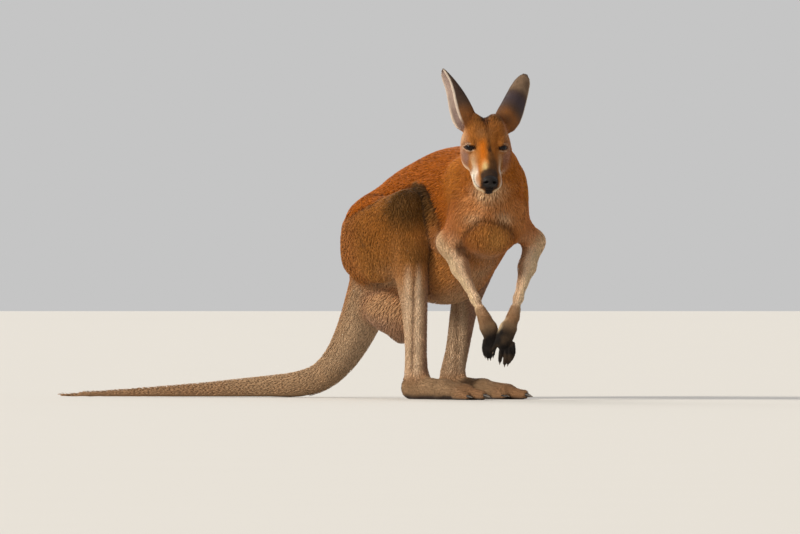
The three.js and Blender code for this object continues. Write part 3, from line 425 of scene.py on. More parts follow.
#        depth, length, width, spacing of the tufts (mm)
COAT = {"trunk": (4.6, 18, 2.5, 5.1), "neck": (4.6, 16, 2.3, 4.8), "under": (4.6, 17, 2.4, 5.0), "scrotum": (3.0, 8, 1.7, 4.0), "chest": (5.2, 18, 2.4, 4.9),
        "thigh": (4.8, 17, 2.5, 5.1), "shank": (2.6, 9, 1.9, 3.9), "foot": (1.6, 6, 1.4, 3.4), "tail": (3.2, 11, 2.1, 4.5), "blade": (4.6, 17, 2.4, 5.0),
        "upper": (4.0, 15, 2.2, 4.5), "fore": (2.4, 9, 1.8, 3.6), "hand": (0.5, 3.8, 0.85, 2.6), "head": (1.5, 5.5, 1.2, 2.5), "ear": (0.15, 3.6, 0.85, 2.5)}
TABLE = np.array([COAT[n.split("_")[0]] for n in REG])
SOFT = np.array([12, 10, 10, 6, 12, 8, 8, 8, 8, 5, 5, 8, 10, 10, 8, 8, 5, 5, 3, 3, 5, 2, 2], float)


def distances(p):
    D = np.empty((len(p), len(REG)))
    for n, o in (("trunk", trunk), ("neck", neck), ("under", under), ("scrotum", scrotum), ("chest", chest), ("tail", tail), ("ear_r", ear_r), ("ear_l", ear_l)):
        D[:, RI[n]] = near(o, p)
    for s, leg, arm in (("_r", leg_r, arm_r), ("_l", leg_l, arm_l)):
        for n, o in (("thigh", leg.thigh), ("shank", leg.shank), ("foot", leg.foot), ("blade", arm.blade), ("upper", arm.upper), ("fore", arm.lower), ("hand", arm.hand)):
            D[:, RI[n + s]] = near(o, p)
    D[:, RI["head"]] = head_d(p)
    return D


def weights(D):
    lo = D.min(1, keepdims=True)
    w = np.exp(-np.clip((D - lo) / SOFT, 0, 40))
    return w / w.sum(1, keepdims=True)


WEB = Ell(np.array([-126.0, -305, 464]), (0, -0.62, -0.79), (0, -0.79, 0.62), (112, 27, 55))    # skin stretched from the right knee to the flank


def join(D, p):
    """the whole coat surface from the distances to its parts"""
    c = lambda n: D[:, RI[n]]
    d = smin(c("trunk"), c("neck"), 70)
    for n, k in (("under", 60), ("scrotum", 26), ("chest", 60)):
        d = smin(d, c(n), k)
    kl = 12 + np.clip((110 + p[:, 1]) / 150, 0, 1) * 58
    for s in ("_r", "_l"):
        d = smin(d, smin(smin(c("thigh" + s), c("shank" + s), 34), c("foot" + s), 24), kl)
    d = smin(d, near(WEB, p), 9)
    d = smin(d, c("tail"), 40)
    for s in ("_r", "_l"):
        a = smin(smin(smin(c("blade" + s), c("upper" + s), 50), c("fore" + s), 16), c("hand" + s), 12)
        d = smin(d, a, 34)
    d = smin(d, c("head"), 30)
    for s in ("_r", "_l"):
        d = smin(d, c("ear" + s), 7)
    return d


def depth_of(W, p):
    d = W @ TABLE[:, 0]
    v = (p - HO) @ HF
    return d + W[:, RI["head"]] * 2.2 * step(-v, 0, 60)


def arc_z(b):
    """height of the line along the top of the haunch"""
    return np.interp(b, [-130, -60, 4, 80, 156, 200, 232, 258, 279, 300], [452, 462, 479, 498, 523, 539, 547, 543, 528, 500])


def front_b(z):
    """how far forward the haunch reaches, up to the fold in front of the knee"""
    return np.interp(z, [380, 412, 445, 496, 526, 545, 556], [386, 378, 362, 337, 312, 284, 250])


def haunch_fold(p):
    """1 on the line where the haunch is parted from the back and from the flank"""
    b, z = -p[:, 1] + 32 * step(p[:, 0], -20, 20), p[:, 2]
    side = step(np.abs(p[:, 0]), 48, 80)
    line = arc_z(b) + 3 * np.sin(b / 23) + 2 * np.sin(b / 9.5)
    back = bell(z, line, 5.5) * step(b, -70, 30) * step(258 - b, 0, 30)
    front = bell(b, front_b(z) + 2 * np.sin(z / 17), 5) * step(z, 404, 450) * step(560 - z, 0, 20)
    return np.maximum(back, front * step(-p[:, 0], 0, 40)) * side


CHEST_LINE = [(150, 384), (163, 408), (179, 437), (200, 453), (226, 460), (252, 454), (279, 441), (297, 414), (306, 384)]


def chest_line(p):
    """1 on the line under the neck and down the inner side of the upper arms, and how far below it the chest bulges"""
    T = to_turn(p)
    X, z = T[:, 0], T[:, 2]
    d = np.full(len(p), 1e9)
    for (x0, z0), (x1, z1) in zip(CHEST_LINE[:-1], CHEST_LINE[1:]):
        t = np.clip(((X - x0) * (x1 - x0) + (z - z0) * (z1 - z0)) / ((x1 - x0) ** 2 + (z1 - z0) ** 2), 0, 1)
        d = np.minimum(d, np.hypot(X - x0 - t * (x1 - x0), z - z0 - t * (z1 - z0)))
    front = step(-p[:, 1], 395, 440) * step(z, 300, 350)
    inside = step(np.interp(X, [q[0] for q in CHEST_LINE], [q[1] for q in CHEST_LINE], 0, 0) - z, -3, 6)
    return d, inside * front, front


def skin_field(p):
    D = distances(p)
    d = join(D, p) + depth_of(weights(D), p) + 3.2 * haunch_fold(p)
    T = to_turn(p)
    dl, inside, front = chest_line(p)
    keep = front * step(p[:, 2], 380, 425) * step(292 - T[:, 0], 0, 24)
    d = d + 2.6 * bell(dl, 0, 8) * keep + 1.0 * inside * step(dl, 0, 16) * step(34 - dl, 0, 16)
    for s, x0 in (("_r", 36.0), ("_l", 150.0)):
        xs = T[:, 0] - x0 - 0.02 * (p[:, 2] - 180)
        m = step(12 - np.abs(D[:, RI["shank" + s]]), 0, 8) * step(320 - p[:, 2], 0, 60) * step(p[:, 2], 60, 100)
        d = d + m * (2.6 * bell(xs, 0, 4) - 1.6 * bell(xs, 12, 7)) * (1.0 if s == "_r" else 0.4)
    return d


# ------------------------------------------------------------------ meshing on a graded grid
def axis(lo, hi, coarse, fine):
    out = [lo]
    while out[-1] < hi:
        x = out[-1]
        h = coarse
        for a, b, f in fine:
            h = min(h, f + 0.22 * max(a - x, x - b, 0))
        out.append(x + h)
    return np.array(out)


LEVELS = 4
CELL = 7.0
AX = [axis(-640, 250, CELL, [(-335, -75, 2.1)]), axis(-800, 760, CELL, [(-790, -480, 2.1)]), axis(-14, 860, CELL, [(80, 210, 2.4), (545, 850, 2.1), (-14, 40, 4.5)])]
for i_ in range(3):
    pad = (-(len(AX[i_]) - 1)) % (1 << LEVELS)
    AX[i_] = np.concatenate([AX[i_], AX[i_][-1] + CELL * np.arange(1, pad + 1)])


def at_node(g):
    return np.stack([AX[k][g[..., k]] for k in range(3)], -1)


def nets(field):
    n = [(len(a) - 1) >> LEVELS for a in AX]
    g = np.stack(np.meshgrid(*[np.arange(k) for k in n], indexing="ij"), -1).reshape(-1, 3)
    off8 = np.array([[0, 0, 0], [1, 0, 0], [0, 1, 0], [1, 1, 0], [0, 0, 1], [1, 0, 1], [0, 1, 1], [1, 1, 1]])
    for L in range(LEVELS, 0, -1):
        a, b = at_node(g << L), at_node((g + 1) << L)
        half = np.linalg.norm(b - a, axis=1) / 2
        d = field((a + b) / 2)
        g = g[np.abs(d) < half * 1.45 + 5]
        g = (g[:, None] * 2 + off8[None]).reshape(-1, 3)
    N = max(len(a) for a in AX) + 8
    key = lambda a: ((a[..., 0] + 2) * N + (a[..., 1] + 2)) * N + (a[..., 2] + 2)
    corners = g[:, None] + off8[None]
    uk, first, inv = np.unique(key(corners).ravel(), return_index=True, return_inverse=True)
    nodes = corners.reshape(-1, 3)[first]
    d = field(at_node(nodes))
    dc = d[inv.reshape(-1)].reshape(-1, 8)
    ins = dc < 0
    mix = ins.any(1) & ~ins.all(1)
    g, dc = g[mix], dc[mix]
    acc, cnt = np.zeros((len(g), 3)), np.zeros(len(g))
    for a, b in ((0, 1), (2, 3), (4, 5), (6, 7), (0, 2), (1, 3), (4, 6), (5, 7), (0, 4), (1, 5), (2, 6), (3, 7)):
        da, db = dc[:, a], dc[:, b]
        m = (da < 0) != (db < 0)
        t = np.where(m, da / np.where(m, da - db, 1), 0)
        acc[m] += (off8[a] + (off8[b] - off8[a]) * t[:, None])[m]
        cnt[m] += 1
    lo, hi = at_node(g), at_node(g + 1)
    verts = lo + (hi - lo) * acc / cnt[:, None]
    ck = key(g)
    order = np.argsort(ck)
    sk = ck[order]

    def find(c):
        k = key(c)
        i = np.minimum(np.searchsorted(sk, k), len(sk) - 1)
        return np.where(sk[i] == k, order[i], -1)

    quads = []
    for ax in range(3):
        o = [i for i in range(3) if i != ax]
        m = (dc[:, 0] < 0) != (dc[:, [1, 2, 4][ax]] < 0)
        gg, flip = g[m], dc[m, 0] < 0
        d1, d2 = np.zeros(3, int), np.zeros(3, int)
        d1[o[0]] = d2[o[1]] = -1
        q = np.stack([find(gg), find(gg + d1), find(gg + d1 + d2), find(gg + d2)], 1)
        ok = (q >= 0).all(1)
        q, flip = q[ok], flip[ok]
        if ax == 1:
            flip = ~flip
        q[~flip] = q[~flip][:, ::-1]
        quads.append(q)
    return verts, np.concatenate(quads)


def normals(v, q):
    n = np.cross(v[q[:, 2]] - v[q[:, 0]], v[q[:, 3]] - v[q[:, 1]])
    out = np.zeros_like(v)
    for k in range(3):
        c = np.repeat(n[:, k], 4)
        out[:, k] = np.bincount(q.ravel(), c, len(v))
    return out / np.maximum(np.linalg.norm(out, axis=1, keepdims=True), 1e-12)


def edges_of(q):
    e = np.concatenate([q[:, [0, 1]], q[:, [1, 2]], q[:, [2, 3]], q[:, [3, 0]]])
    e.sort(1)
    return np.unique(e, axis=0)


def spread(x, e, cnt):
    out = np.empty_like(x)
    for k in range(x.shape[1]):
        out[:, k] = np.bincount(e[:, 0], x[e[:, 1], k], len(x)) + np.bincount(e[:, 1], x[e[:, 0], k], len(x))
    return out / cnt[:, None]


def components(n, e):
    lab = np.arange(n)
    while True:
        m = np.minimum(lab[e[:, 0]], lab[e[:, 1]])
        new = lab.copy()
        np.minimum.at(new, e[:, 0], m)
        np.minimum.at(new, e[:, 1], m)
        np.minimum.at(new, lab[e[:, 0]], m)
        np.minimum.at(new, lab[e[:, 1]], m)
        new = new[new]
        if (new == lab).all():
            return lab
        lab = new


def make_skin():
    v, q = nets(skin_field)
    lab = components(len(v), edges_of(q))
    ids, cnt = np.unique(lab, return_counts=True)
    keep = lab == ids[np.argmax(cnt)]
    q = q[keep[q].all(1)]
    new = np.cumsum(keep) - 1
    v, q = v[keep], new[q]
    # settle on the field: everywhere twice, the second step a little shorter
    for it in range(2):
        g = np.zeros_like(v)
        d = skin_field(v)
        for k in range(3):
            dp = np.zeros(3)
            dp[k] = 0.5
            g[:, k] = (skin_field(v + dp) - d) / 0.5
        s = (-d / np.maximum((g * g).sum(1), 0.15))[:, None] * g
        l = np.linalg.norm(s, axis=1)[:, None]
        v = v + s * np.minimum(1, 1.2 / np.maximum(l, 1e-9)) * (1.0 if it == 0 else 0.8)
    e = edges_of(q)
    cnt = np.bincount(e.ravel(), minlength=len(v)).astype(float)
    D = distances(v)
    W = weights(D)
    soft = W[:, [RI[n] for n in REG if n.split("_")[0] in ("trunk", "neck", "under", "chest", "thigh", "shank", "tail", "blade", "upper", "scrotum", "foot")]].sum(1)
    soft = np.where(W[:, RI["head"]] + W[:, RI["ear_r"]] + W[:, RI["ear_l"]] + W[:, RI["hand_r"]] + W[:, RI["hand_l"]] > 0.3, 0, soft)[:, None]
    for _ in range(14):
        v = v + 0.5 * soft * (spread(v, e, cnt) - v)
        v = v - 0.52 * soft * (spread(v, e, cnt) - v)
    for _ in range(2):
        v = v + 0.25 * (1 - soft) * (spread(v, e, cnt) - v)
        v = v - 0.26 * (1 - soft) * (spread(v, e, cnt) - v)
    return v, q, e, cnt, W


# ------------------------------------------------------------------ noise as a plain function of place
def hash3(i, seed):
    h = (i[..., 0] * 374761393 + i[..., 1] * 668265263 + i[..., 2] * 2147483647 + seed * 974711) & 0xFFFFFFFF
    h = ((h ^ (h >> 13)) * 1274126177) & 0xFFFFFFFF
    h = ((h ^ (h >> 16)) * 2246822519) & 0xFFFFFFFF
    return ((h ^ (h >> 15)) & 0xFFFFFF) / float(0xFFFFFF)


def noise(p, size, seed=0):
    q = p / size
    i = np.floor(q).astype(np.int64)
    f = q - i
    f = f * f * (3 - 2 * f)
    out = 0
    for a in (0, 1):
        for b in (0, 1):
            for c in (0, 1):
                w = (f[:, 0] if a else 1 - f[:, 0]) * (f[:, 1] if b else 1 - f[:, 1]) * (f[:, 2] if c else 1 - f[:, 2])
                out = out + w * hash3(i + np.array([a, b, c]), seed)
    return out * 2 - 1


def fog(p, size, seed=0):
    return (noise(p, size, seed) + 0.5 * noise(p, size * 0.47, seed + 5) + 0.25 * noise(p, size * 0.22, seed + 9)) / 1.4


# ------------------------------------------------------------------ markings, with some painted shade and a painted highlight: colour as a function of place and region
def srgb(r, g, b):
    c = np.array([r, g, b], float) / 255
    return np.where(c <= 0.04045, c / 12.92, ((c + 0.055) / 1.055) ** 2.4)


RUST, RUST_DEEP, RUST_PALE = srgb(166, 88, 6), srgb(126, 66, 5), srgb(190, 118, 38)
THIGH, THIGH_LOW, KNEE = srgb(154, 96, 36), srgb(178, 120, 58), srgb(82, 54, 16)
BELLY, PALE, CREAM = srgb(184, 124, 72), srgb(196, 158, 120), srgb(226, 200, 162)
SHANK, SHANK_PALE, SHANK_DARK = srgb(204, 168, 134), srgb(240, 212, 180), srgb(140, 100, 68)
FOOT, SOLE = srgb(150, 120, 90), srgb(58, 44, 38)
TAIL, TAIL_TOP, TAIL_LOW = srgb(170, 138, 106), srgb(176, 112, 54), srgb(190, 162, 132)
ARM, ARM_BROWN, HAND = srgb(232, 200, 166), srgb(166, 112, 74), srgb(24, 19, 17)
FACE, CROWN, BRIDGE = srgb(172, 108, 44), srgb(92, 62, 34), srgb(212, 116, 10)
GREY, WHITE, NOSE, MUZZLE = srgb(150, 118, 108), srgb(240, 230, 216), srgb(18, 14, 14), srgb(58, 42, 32)
EAR_BACK, EAR_IN, EAR_RIM, EAR_TIP, EAR_BAND = srgb(84, 62, 46), srgb(160, 138, 130), srgb(222, 204, 186), srgb(128, 104, 82), srgb(62, 58, 72)


def lay(c, col, m):
    m = np.clip(m, 0, 1)[:, None]
    return c * (1 - m) + col * m


def paint(p, n, W):
    c_ = lambda *names: sum(W[:, RI[x]] for x in names)
    T = to_turn(p)
    X, Y, z = T[:, 0], T[:, 1], T[:, 2]
    b = -p[:, 1]
    a = p[:, 0]
    big, mid, fine = fog(p, 90, 1), fog(p, 26, 2), noise(p, 7, 3)
    # trunk: rusty above, deeper on the back line, sandy below
    axis_z = np.interp(b, [-112, 0, 150, 340, 515], [372, 436, 462, 486, 526])
    low = step(axis_z - z, 40, 190)
    c = np.repeat(RUST[None], len(p), 0)
    c = lay(c, RUST_DEEP, 0.35 * step(n[:, 2], 0.5, 0.95) + 0.18 * big)
    c = lay(c, BELLY, low * 0.75)
    c = lay(c, PALE, 0.75 * step(-n[:, 2], 0.55, 0.95) * step(380 - z, -40, 60))
    c = lay(c, RUST_PALE, 0.9 * c_("blade_r", "blade_l") + 0.4 * c_("neck"))
    # rump and haunch
    legs = {"r": leg_r, "l": leg_l}
    c = lay(c, THIGH_LOW, 0.6 * c_("trunk") * step(430 - z, 0, 60) * step(b, 200, 250) * step(440 - b, 0, 90) * step(np.abs(a), 40, 90))
    for s, leg in legs.items():
        bs_ = b + (32 if s == "l" else 0)
        over = step(150 - b, 0, 70) * step(arc_z(bs_) - z, -5, 9) * step(np.abs(a), 20, 70) * step(z, 150, 200)
        own = step(leg.g * a, -10, 30)
        bb = b + (32 if s == "l" else 0)
        flank = step(front_b(z) - bb, -2, 5) * step(bb, 200, 240) * step(z, 330, 400) * step(arc_z(np.minimum(bb, 258)) + 16 - z, 0, 8) * step(-a, 55, 80)
        above = step(z - arc_z(bs_), -2, 8) * step(175 - b, 0, 40)
        t = np.clip(W[:, RI["thigh_" + s]] * (1 - above) + W[:, RI["shank_" + s]] * step(z, 300, 360) + np.maximum(over, flank) * own * c_("trunk"), 0, 1)
        kb, kz = leg.knee[1], leg.knee[2]
        th = np.repeat(THIGH[None], len(p), 0)
        th = lay(th, THIGH_LOW, step(470 - z, 20, 170) * 0.85)
        th = lay(th, srgb(176, 110, 60), 0.55 * step(-b, -70, 60) * step(z, 250, 330))
        r = np.hypot((b - kb - 30) * 0.62, (z - kz - 22) * 0.95) + 10 * mid + 8 * big
        th = lay(th, KNEE, 0.88 * step(96 - r, 0, 70))
        th = lay(th, srgb(46, 32, 16), 0.6 * bell(np.hypot((b - kb - 40) * 0.7, z - kz - 48), 0, 26))
        th = lay(th, srgb(98, 66, 30), 0.55 * bell(b, kb + 36, 22) * bell(z, 356, 52))
        th = lay(th, srgb(176, 120, 66), 0.55 * bell(b, kb - 30 + 0.3 * (z - 360), 26) * bell(z, 350, 66))
        th = lay(th, srgb(160, 104, 66), 0.6 * bell(b, kb + 84, 24) * bell(z, 400, 36))
        th = lay(th, PALE, 0.6 * step(leg.g * -(a - leg.g * 96), 0, 24) * step(430 - z, 0, 60))
        th = lay(th, PALE, 0.55 * bell(z, 306, 34) * bell(b, kb - 75, 48))
        # painted shade: a dark band along the lower edge of the haunch, above the tail
        th = lay(th, srgb(66, 42, 28), 0.7 * bell(z, 268 + 0.35 * np.abs(b - 60), 15) * step(b, -40, 20) * step(130 - b, 0, 40))
        for b0, z0, sl, ln in ((62, 414, 1.1, 16), (84, 424, 1.7, 13), (76, 398, 0.9, 12)):
            x_ = (b - b0) + sl * (z - z0)
            y_ = (z - z0) - 0.2 * (b - b0)
            th = lay(th, srgb(64, 38, 24), 0.75 * bell(x_, 0, 4.5) * bell(y_, 0, ln))
        c = c * (1 - t[:, None]) + th * t[:, None]
        # shank: sandy, with a pale ridge down its front and painted shade in the hollow beside it; the far (left) shank
        # is darkened all over as painted shade
        t = W[:, RI["shank_" + s]] * (1 - step(z, 300, 360))
        front_ = step(-(n @ unit(turn(0, 1, 0))), 0.05, 0.5)
        x0 = 36.0 if s == "r" else 150.0
        xs = X - x0 - 0.02 * (z - 180)
        # painted shade: the far (left) shank takes 0.72 of the shank colour
        sh = np.repeat((SHANK if s == "r" else 0.72 * SHANK)[None], len(p), 0)
        gr = 1.0 if s == "r" else 0.4
        sh = lay(sh, THIGH_LOW, step(z, 240, 330) * 0.8)
        sh = lay(sh, SHANK_PALE, 0.65 * gr * bell(xs, -15, 9) * front_)
        # painted shade: a dark line in the hollow down the shank's front
        sh = lay(sh, srgb(96, 72, 56), 0.62 * gr * bell(xs, 0, 3.2) * front_ * step(z, 50, 90))
        sh = lay(sh, SHANK_PALE, 0.9 * gr * bell(xs, 12, 7) * front_ * (0.85 + 0.3 * mid))
        sh = lay(sh, srgb(150, 110, 90), 0.7 * step(xs, 22, 32))
        sh = lay(sh, SHANK_DARK, 0.35 * step(n[:, 1], 0.2, 0.8))
        c = c * (1 - t[:, None]) + sh * t[:, None]
        t = W[:, RI["foot_" + s]]
        ft = np.repeat(FOOT[None], len(p), 0)
        ft = lay(ft, SHANK, step(z, 40, 80))
        ft = lay(ft, SHANK_DARK, 0.75 * step(b - leg.ankle[1], 150, 260))
        ft = lay(ft, SOLE, step(-n[:, 2], 0.2, 0.7) * step(20 - z, 0, 14))
        c = c * (1 - t[:, None]) + ft * t[:, None]
    # tail: rusty at its root above, mouse-brown along it, paler under
    t = c_("tail")
    tl = lay(np.repeat(TAIL[None], len(p), 0), TAIL_TOP, 0.85 * step(z, 130, 330) * step(n[:, 1] + 0.4 * n[:, 2], -0.1, 0.7))
    tl = lay(tl, TAIL_LOW, 0.55 * step(-n[:, 1], -0.2, 0.5) * step(z, 40, 120))
    tl = lay(tl, SHANK_DARK, 0.45 * step(-X, 330, 560) + 0.15 * mid)
    c = c * (1 - t[:, None]) + tl * t[:, None]
    c = lay(c, PALE, 0.75 * c_("under"))
    c = lay(c, GREY, 0.5 * c_("under") * step(-n[:, 2], -0.2, 0.6))
    # scrotum: its own greyish tone, darkened as painted shade where it lies under the belly
    c = lay(c, srgb(150, 122, 102), 0.85 * c_("scrotum"))
    # chest and throat
    front = step(-(n @ unit(turn(0, 1, 0))), 0.1, 0.7)
    fore_part = step(-Y, 330, 400)
    ch = np.clip(c_("chest") + c_("trunk") * 0.8, 0, 1) * fore_part * step(470 - z, 0, 40) * step(z, 270, 320)
    c = lay(c, srgb(178, 110, 52), 0.8 * ch * front)
    c = lay(c, srgb(200, 132, 74), 0.7 * front * fore_part * bell(z, 480, 40) * bell(X, 228, 84))
    c = lay(c, CREAM, 0.66 * front * fore_part * bell(z, 530, 32) * bell(X, 226, 40) * (0.8 + 0.6 * mid))
    c = lay(c, CREAM, 0.5 * front * fore_part * bell(z, 474 - 0.2 * np.abs(X - 228), 16) * bell(np.abs(X - 228), 40, 24))
    dl, inside, _ = chest_line(p)
    # painted shade on the chest below the line under the neck, and a painted highlight on its bulge
    c = lay(c, srgb(172, 112, 50), 0.65 * inside * front * step(dl, 0, 14))
    c = lay(c, srgb(208, 150, 78), 0.6 * inside * front * bell(X, 250, 30) * bell(z, 404, 40))
    # painted shade along the crease under the neck and down the inner side of the upper arms
    chest_crease_shade = bell(dl, 0, 7.5) * front * fore_part * step(-Y, 395, 440) * step(312 - X, 0, 24)
    # upper arms: peach, paler towards the elbow
    for (xs_, zs_), (xe_, ze_) in (((183, 496), (118, 394)), ((298, 486), (354, 398))):
        ts = np.clip(((X - xs_) * (xe_ - xs_) + (z - zs_) * (ze_ - zs_)) / ((xe_ - xs_) ** 2 + (ze_ - zs_) ** 2), 0, 1)
        da = np.hypot(X - xs_ - ts * (xe_ - xs_), z - zs_ - ts * (ze_ - zs_))
        on = step(38 - da, 0, 24) * step(n @ unit(turn(0, -1, 0)), -0.1, 0.4) * step(-Y, 380, 420) * (1 - inside * step(dl, 2, 10))
        c = lay(c, srgb(206, 142, 84), 0.62 * on * (0.8 + 0.4 * mid))
        c = lay(c, srgb(226, 186, 140), 0.8 * on * step(ts, 0.55, 1.0))
    # fore limbs: sandy shoulder to cream forearm with a brown inner and upper side, then the black hand
    for s, arm in (("r", arm_r), ("l", arm_l)):
        out = -1 if s == "r" else 1
        t = W[:, RI["upper_" + s]]
        lat = (n @ unit(turn(1, 0, 0))) * out
        up = np.repeat(srgb(192, 122, 70)[None], len(p), 0)
        up = lay(up, CREAM, 0.55 * step(430 - z, -20, 60) * step(lat, -0.1, 0.6))
        c = c * (1 - t[:, None]) + up * t[:, None]
        t = W[:, RI["fore_" + s]]
        along = np.clip(((p - arm.el) @ (arm.wr - arm.el)) / ((arm.wr - arm.el) @ (arm.wr - arm.el)), 0, 1.2)
        fo = np.repeat(ARM[None], len(p), 0)
        fo = lay(fo, CREAM, 0.8 * step(lat, 0.15, 0.7))
        fo = lay(fo, ARM_BROWN, 0.72 * step(-lat, 0.0, 0.6) * step(0.72 - along, 0, 0.3))
        fo = lay(fo, srgb(180, 146, 114), 0.5 * step(-lat, 0.0, 0.7) * step(along, 0.5, 0.8))
        fo = lay(fo, srgb(146, 120, 94), 0.75 * step(along, 0.9, 1.04))
        c = c * (1 - t[:, None]) + fo * t[:, None]
        t = W[:, RI["hand_" + s]]
        k = (p - arm.wr) @ arm.hand_dir
        ha = lay(np.repeat(srgb(138, 110, 82)[None], len(p), 0), HAND, np.clip(step(k, 10, 54) * (1.0 + 0.3 * mid), 0, 1))
        if s == "l":
            ha = lay(ha, CREAM, 0.7 * step(-(n @ unit(turn(1, 0, 0))), 0.3, 0.8) * step(58 - k, 0, 20) * step(k, 0, 14))
        c = c * (1 - t[:, None]) + ha * t[:, None]
    # where two masses press together, painted shade is laid on after paint() returns, from the crease weights
    # head
    t = c_("head")
    q = (p - HO) @ HR.T
    u, v, w = q[:, 0], q[:, 1], q[:, 2]
    au = np.abs(u)
    hn = n @ HR.T
    hd = np.repeat(FACE[None], len(p), 0)
    hd = lay(hd, RUST_PALE, 0.7 * step(-v, 40, 90) * step(30 - w, 0, 20))
    # crown and forehead: grizzled brown round the ears' roots, paler and greyer over the brows
    hd = lay(hd, CROWN, 0.9 * step(-v, 30, 56) * step(w, 6, 26) * (0.9 + 0.5 * mid))
    hd = lay(hd, srgb(150, 96, 44), 0.8 * bell(v, -36, 14) * bell(au, 22, 11) * step(w, 10, 24))
    hd = lay(hd, srgb(124, 94, 62), 0.6 * bell(v, -14, 20) * bell(au, 7, 17) * step(w, 6, 20) * (1 + mid))
    hd = lay(hd, srgb(150, 92, 34), 0.7 * bell(v, -2, 11) * bell(au, 26, 13) * step(w, 2, 12))
    hd = lay(hd, BRIDGE, 0.9 * bell(u, -11, 9) * step(v, -4, 16) * step(84 - v, 0, 20) * step(w, -28, -10))
    # painted shade: the orange of the muzzle's top, darker on the face's left side
    hd = lay(hd, srgb(158, 92, 30), 0.8 * bell(u, 18, 8) * step(v, -4, 16) * step(84 - v, 0, 20) * step(w, -28, -10))
    mid_u = np.interp(v, [-70, -30, 0, 30, 70, 90, 110], [1, 1, 3, 6, 7, 6, 0])
    streak = np.interp(v, [-80, -60, -40, -10, 20, 60, 85, 120], [17, 12, 7, 3.5, 5, 8, 11, 12]) + 2.6 * noise(p, 9, 31) + 1.6 * noise(p, 4, 32)
    dark = np.interp(v, [-75, -48, -25, 0, 20, 60, 85, 100], [1.0, 1.0, 0.7, 0.6, 0.95, 0.9, 0.9, 0.95])
    low = step(v, 34, 66)
    patchy = np.clip(0.95 + 0.6 * mid + 0.4 * noise(p, 6, 33) + step(-v, 25, 45), 0.6, 1)
    hd = lay(hd, srgb(40, 27, 16), (1 - low) * dark * patchy * step(streak + 4.5 - np.abs(u - mid_u), 0, 9) * step(w + 0.3 * v, -24, -12))
    # lower on the muzzle the dark streak turns brown and widens to the face's left: dark marking and painted shade
    # together
    hd = lay(hd, srgb(84, 54, 26), low * 0.92 * step(streak + 8 - np.abs(u - mid_u - 4), 0, 12) * step(w + 0.3 * v, -24, -12))
    hd = lay(hd, srgb(204, 164, 122), 0.8 * bell(au, 34, 8) * bell(v, 34, 28) * bell(w, -20, 17))
    hd = lay(hd, srgb(216, 190, 156), 0.7 * bell(au, 33, 5) * bell(v, 46, 22) * bell(w, -32, 14))
    hd = lay(hd, GREY, 0.93 * step(au, 38, 44) * bell(v, 6, 40) * bell(w, -34, 26))
    hd = lay(hd, srgb(226, 190, 152), 0.75 * bell(au, 52, 8) * bell(v, -38, 22) * bell(w, -2, 26))
    hd = lay(hd, srgb(206, 132, 96), 0.7 * bell(u, 46, 9) * bell(v, -50, 16) * bell(w, 20, 12))
    hd = lay(hd, srgb(216, 190, 168), 0.8 * bell(w, -62, 5) * bell(v, 14, 40) * step(au, 24, 34))
    # lips: white down the side of the muzzle, parted from it by a dark line
    hd = lay(hd, WHITE, 0.97 * bell(w, -52, 20) * step(v, 30, 52) * step(au, 22, 28))
    hd = lay(hd, WHITE, 0.9 * bell(v, 74, 15) * bell(w, -32, 15) * step(au, 23, 27))
    hd = lay(hd, srgb(44, 32, 28), 0.9 * bell(au, 23.5 + 0.05 * (v - 80), 1.7) * bell(v, 80, 15) * step(-w, 20, 28))
    hd = lay(hd, srgb(140, 108, 92), 0.6 * bell(au, 20, 2.5) * bell(v, 86, 12) * bell(w, -40, 10))
    hd = lay(hd, srgb(226, 200, 140), 0.9 * bell(v, 78, 15) * bell(u, -10, 6.5) * step(w, -24, -10))
    hd = lay(hd, CREAM, 0.9 * step(-w, 56, 66) * step(v, -10, 40))
    hd = lay(hd, CREAM, 0.5 * step(-w, 50, 66) * step(-hn[:, 2], 0.1, 0.6))
    # muzzle, nose leather, lips and chin
    hd = lay(hd, MUZZLE, 0.96 * step(v + 6 * mid + 0.3 * np.minimum(u, 0), 80, 93) * step(24.5 - au + 3 * mid, 0, 5) * step(w, -47, -40))
    hd = lay(hd, CREAM, 0.85 * step(-w, 50, 56) * step(au, 8, 13) * step(v, 60, 84))
    hd = lay(hd, srgb(48, 36, 30), 0.9 * step(-w, 46, 50) * step(10.5 - au, 0, 4) * step(v, 90, 100))
    nose = step(v + 0.25 * w, 104, 108) * step(18.5 - au, 0, 3) * step(w, -34, -30)
    hd = lay(hd, NOSE, nose)
    hd = lay(hd, NOSE, 0.9 * step(v, 99, 105) * step(12 - au, 0, 5) * step(-w, 28, 34))
    hd = lay(hd, srgb(30, 22, 20), bell(w, -47, 3.0) * step(v, 50, 66))
    for s_ in (1, -1):
        g = lid_gap(p, s_)
        r, al, be = lid_place(p, s_)
        on = step(24 - r, 0, 5)
        hd = lay(hd, srgb(214, 190, 164), 0.82 * on * bell(g, 4.4, 1.3) * step(be, -60, -40))
        hd = lay(hd, srgb(20, 14, 12), on * step(3.0 - g, 0, 1.2))
        hd = lay(hd, srgb(84, 54, 32), 0.7 * on * bell(g, 8.6, 2.2) * step(be, 0, 12))
        hd = lay(hd, srgb(30, 20, 18), 0.9 * on * bell(al, -66, 9) * bell(be, -7, 5))
    hd = lay(hd, CROWN, 0.5 * step(9 - np.minimum(np.abs(u - 37), np.abs(u + 37)), 0, 9) * step(-v, 44, 60) * step(w, 4, 20))
    c = c * (1 - t[:, None]) + hd * t[:, None]
    # painted shade laid along the chest crease, off the head and neck
    c = lay(c, srgb(82, 50, 20), 0.72 * chest_crease_shade * (1 - c_("head", "neck")))
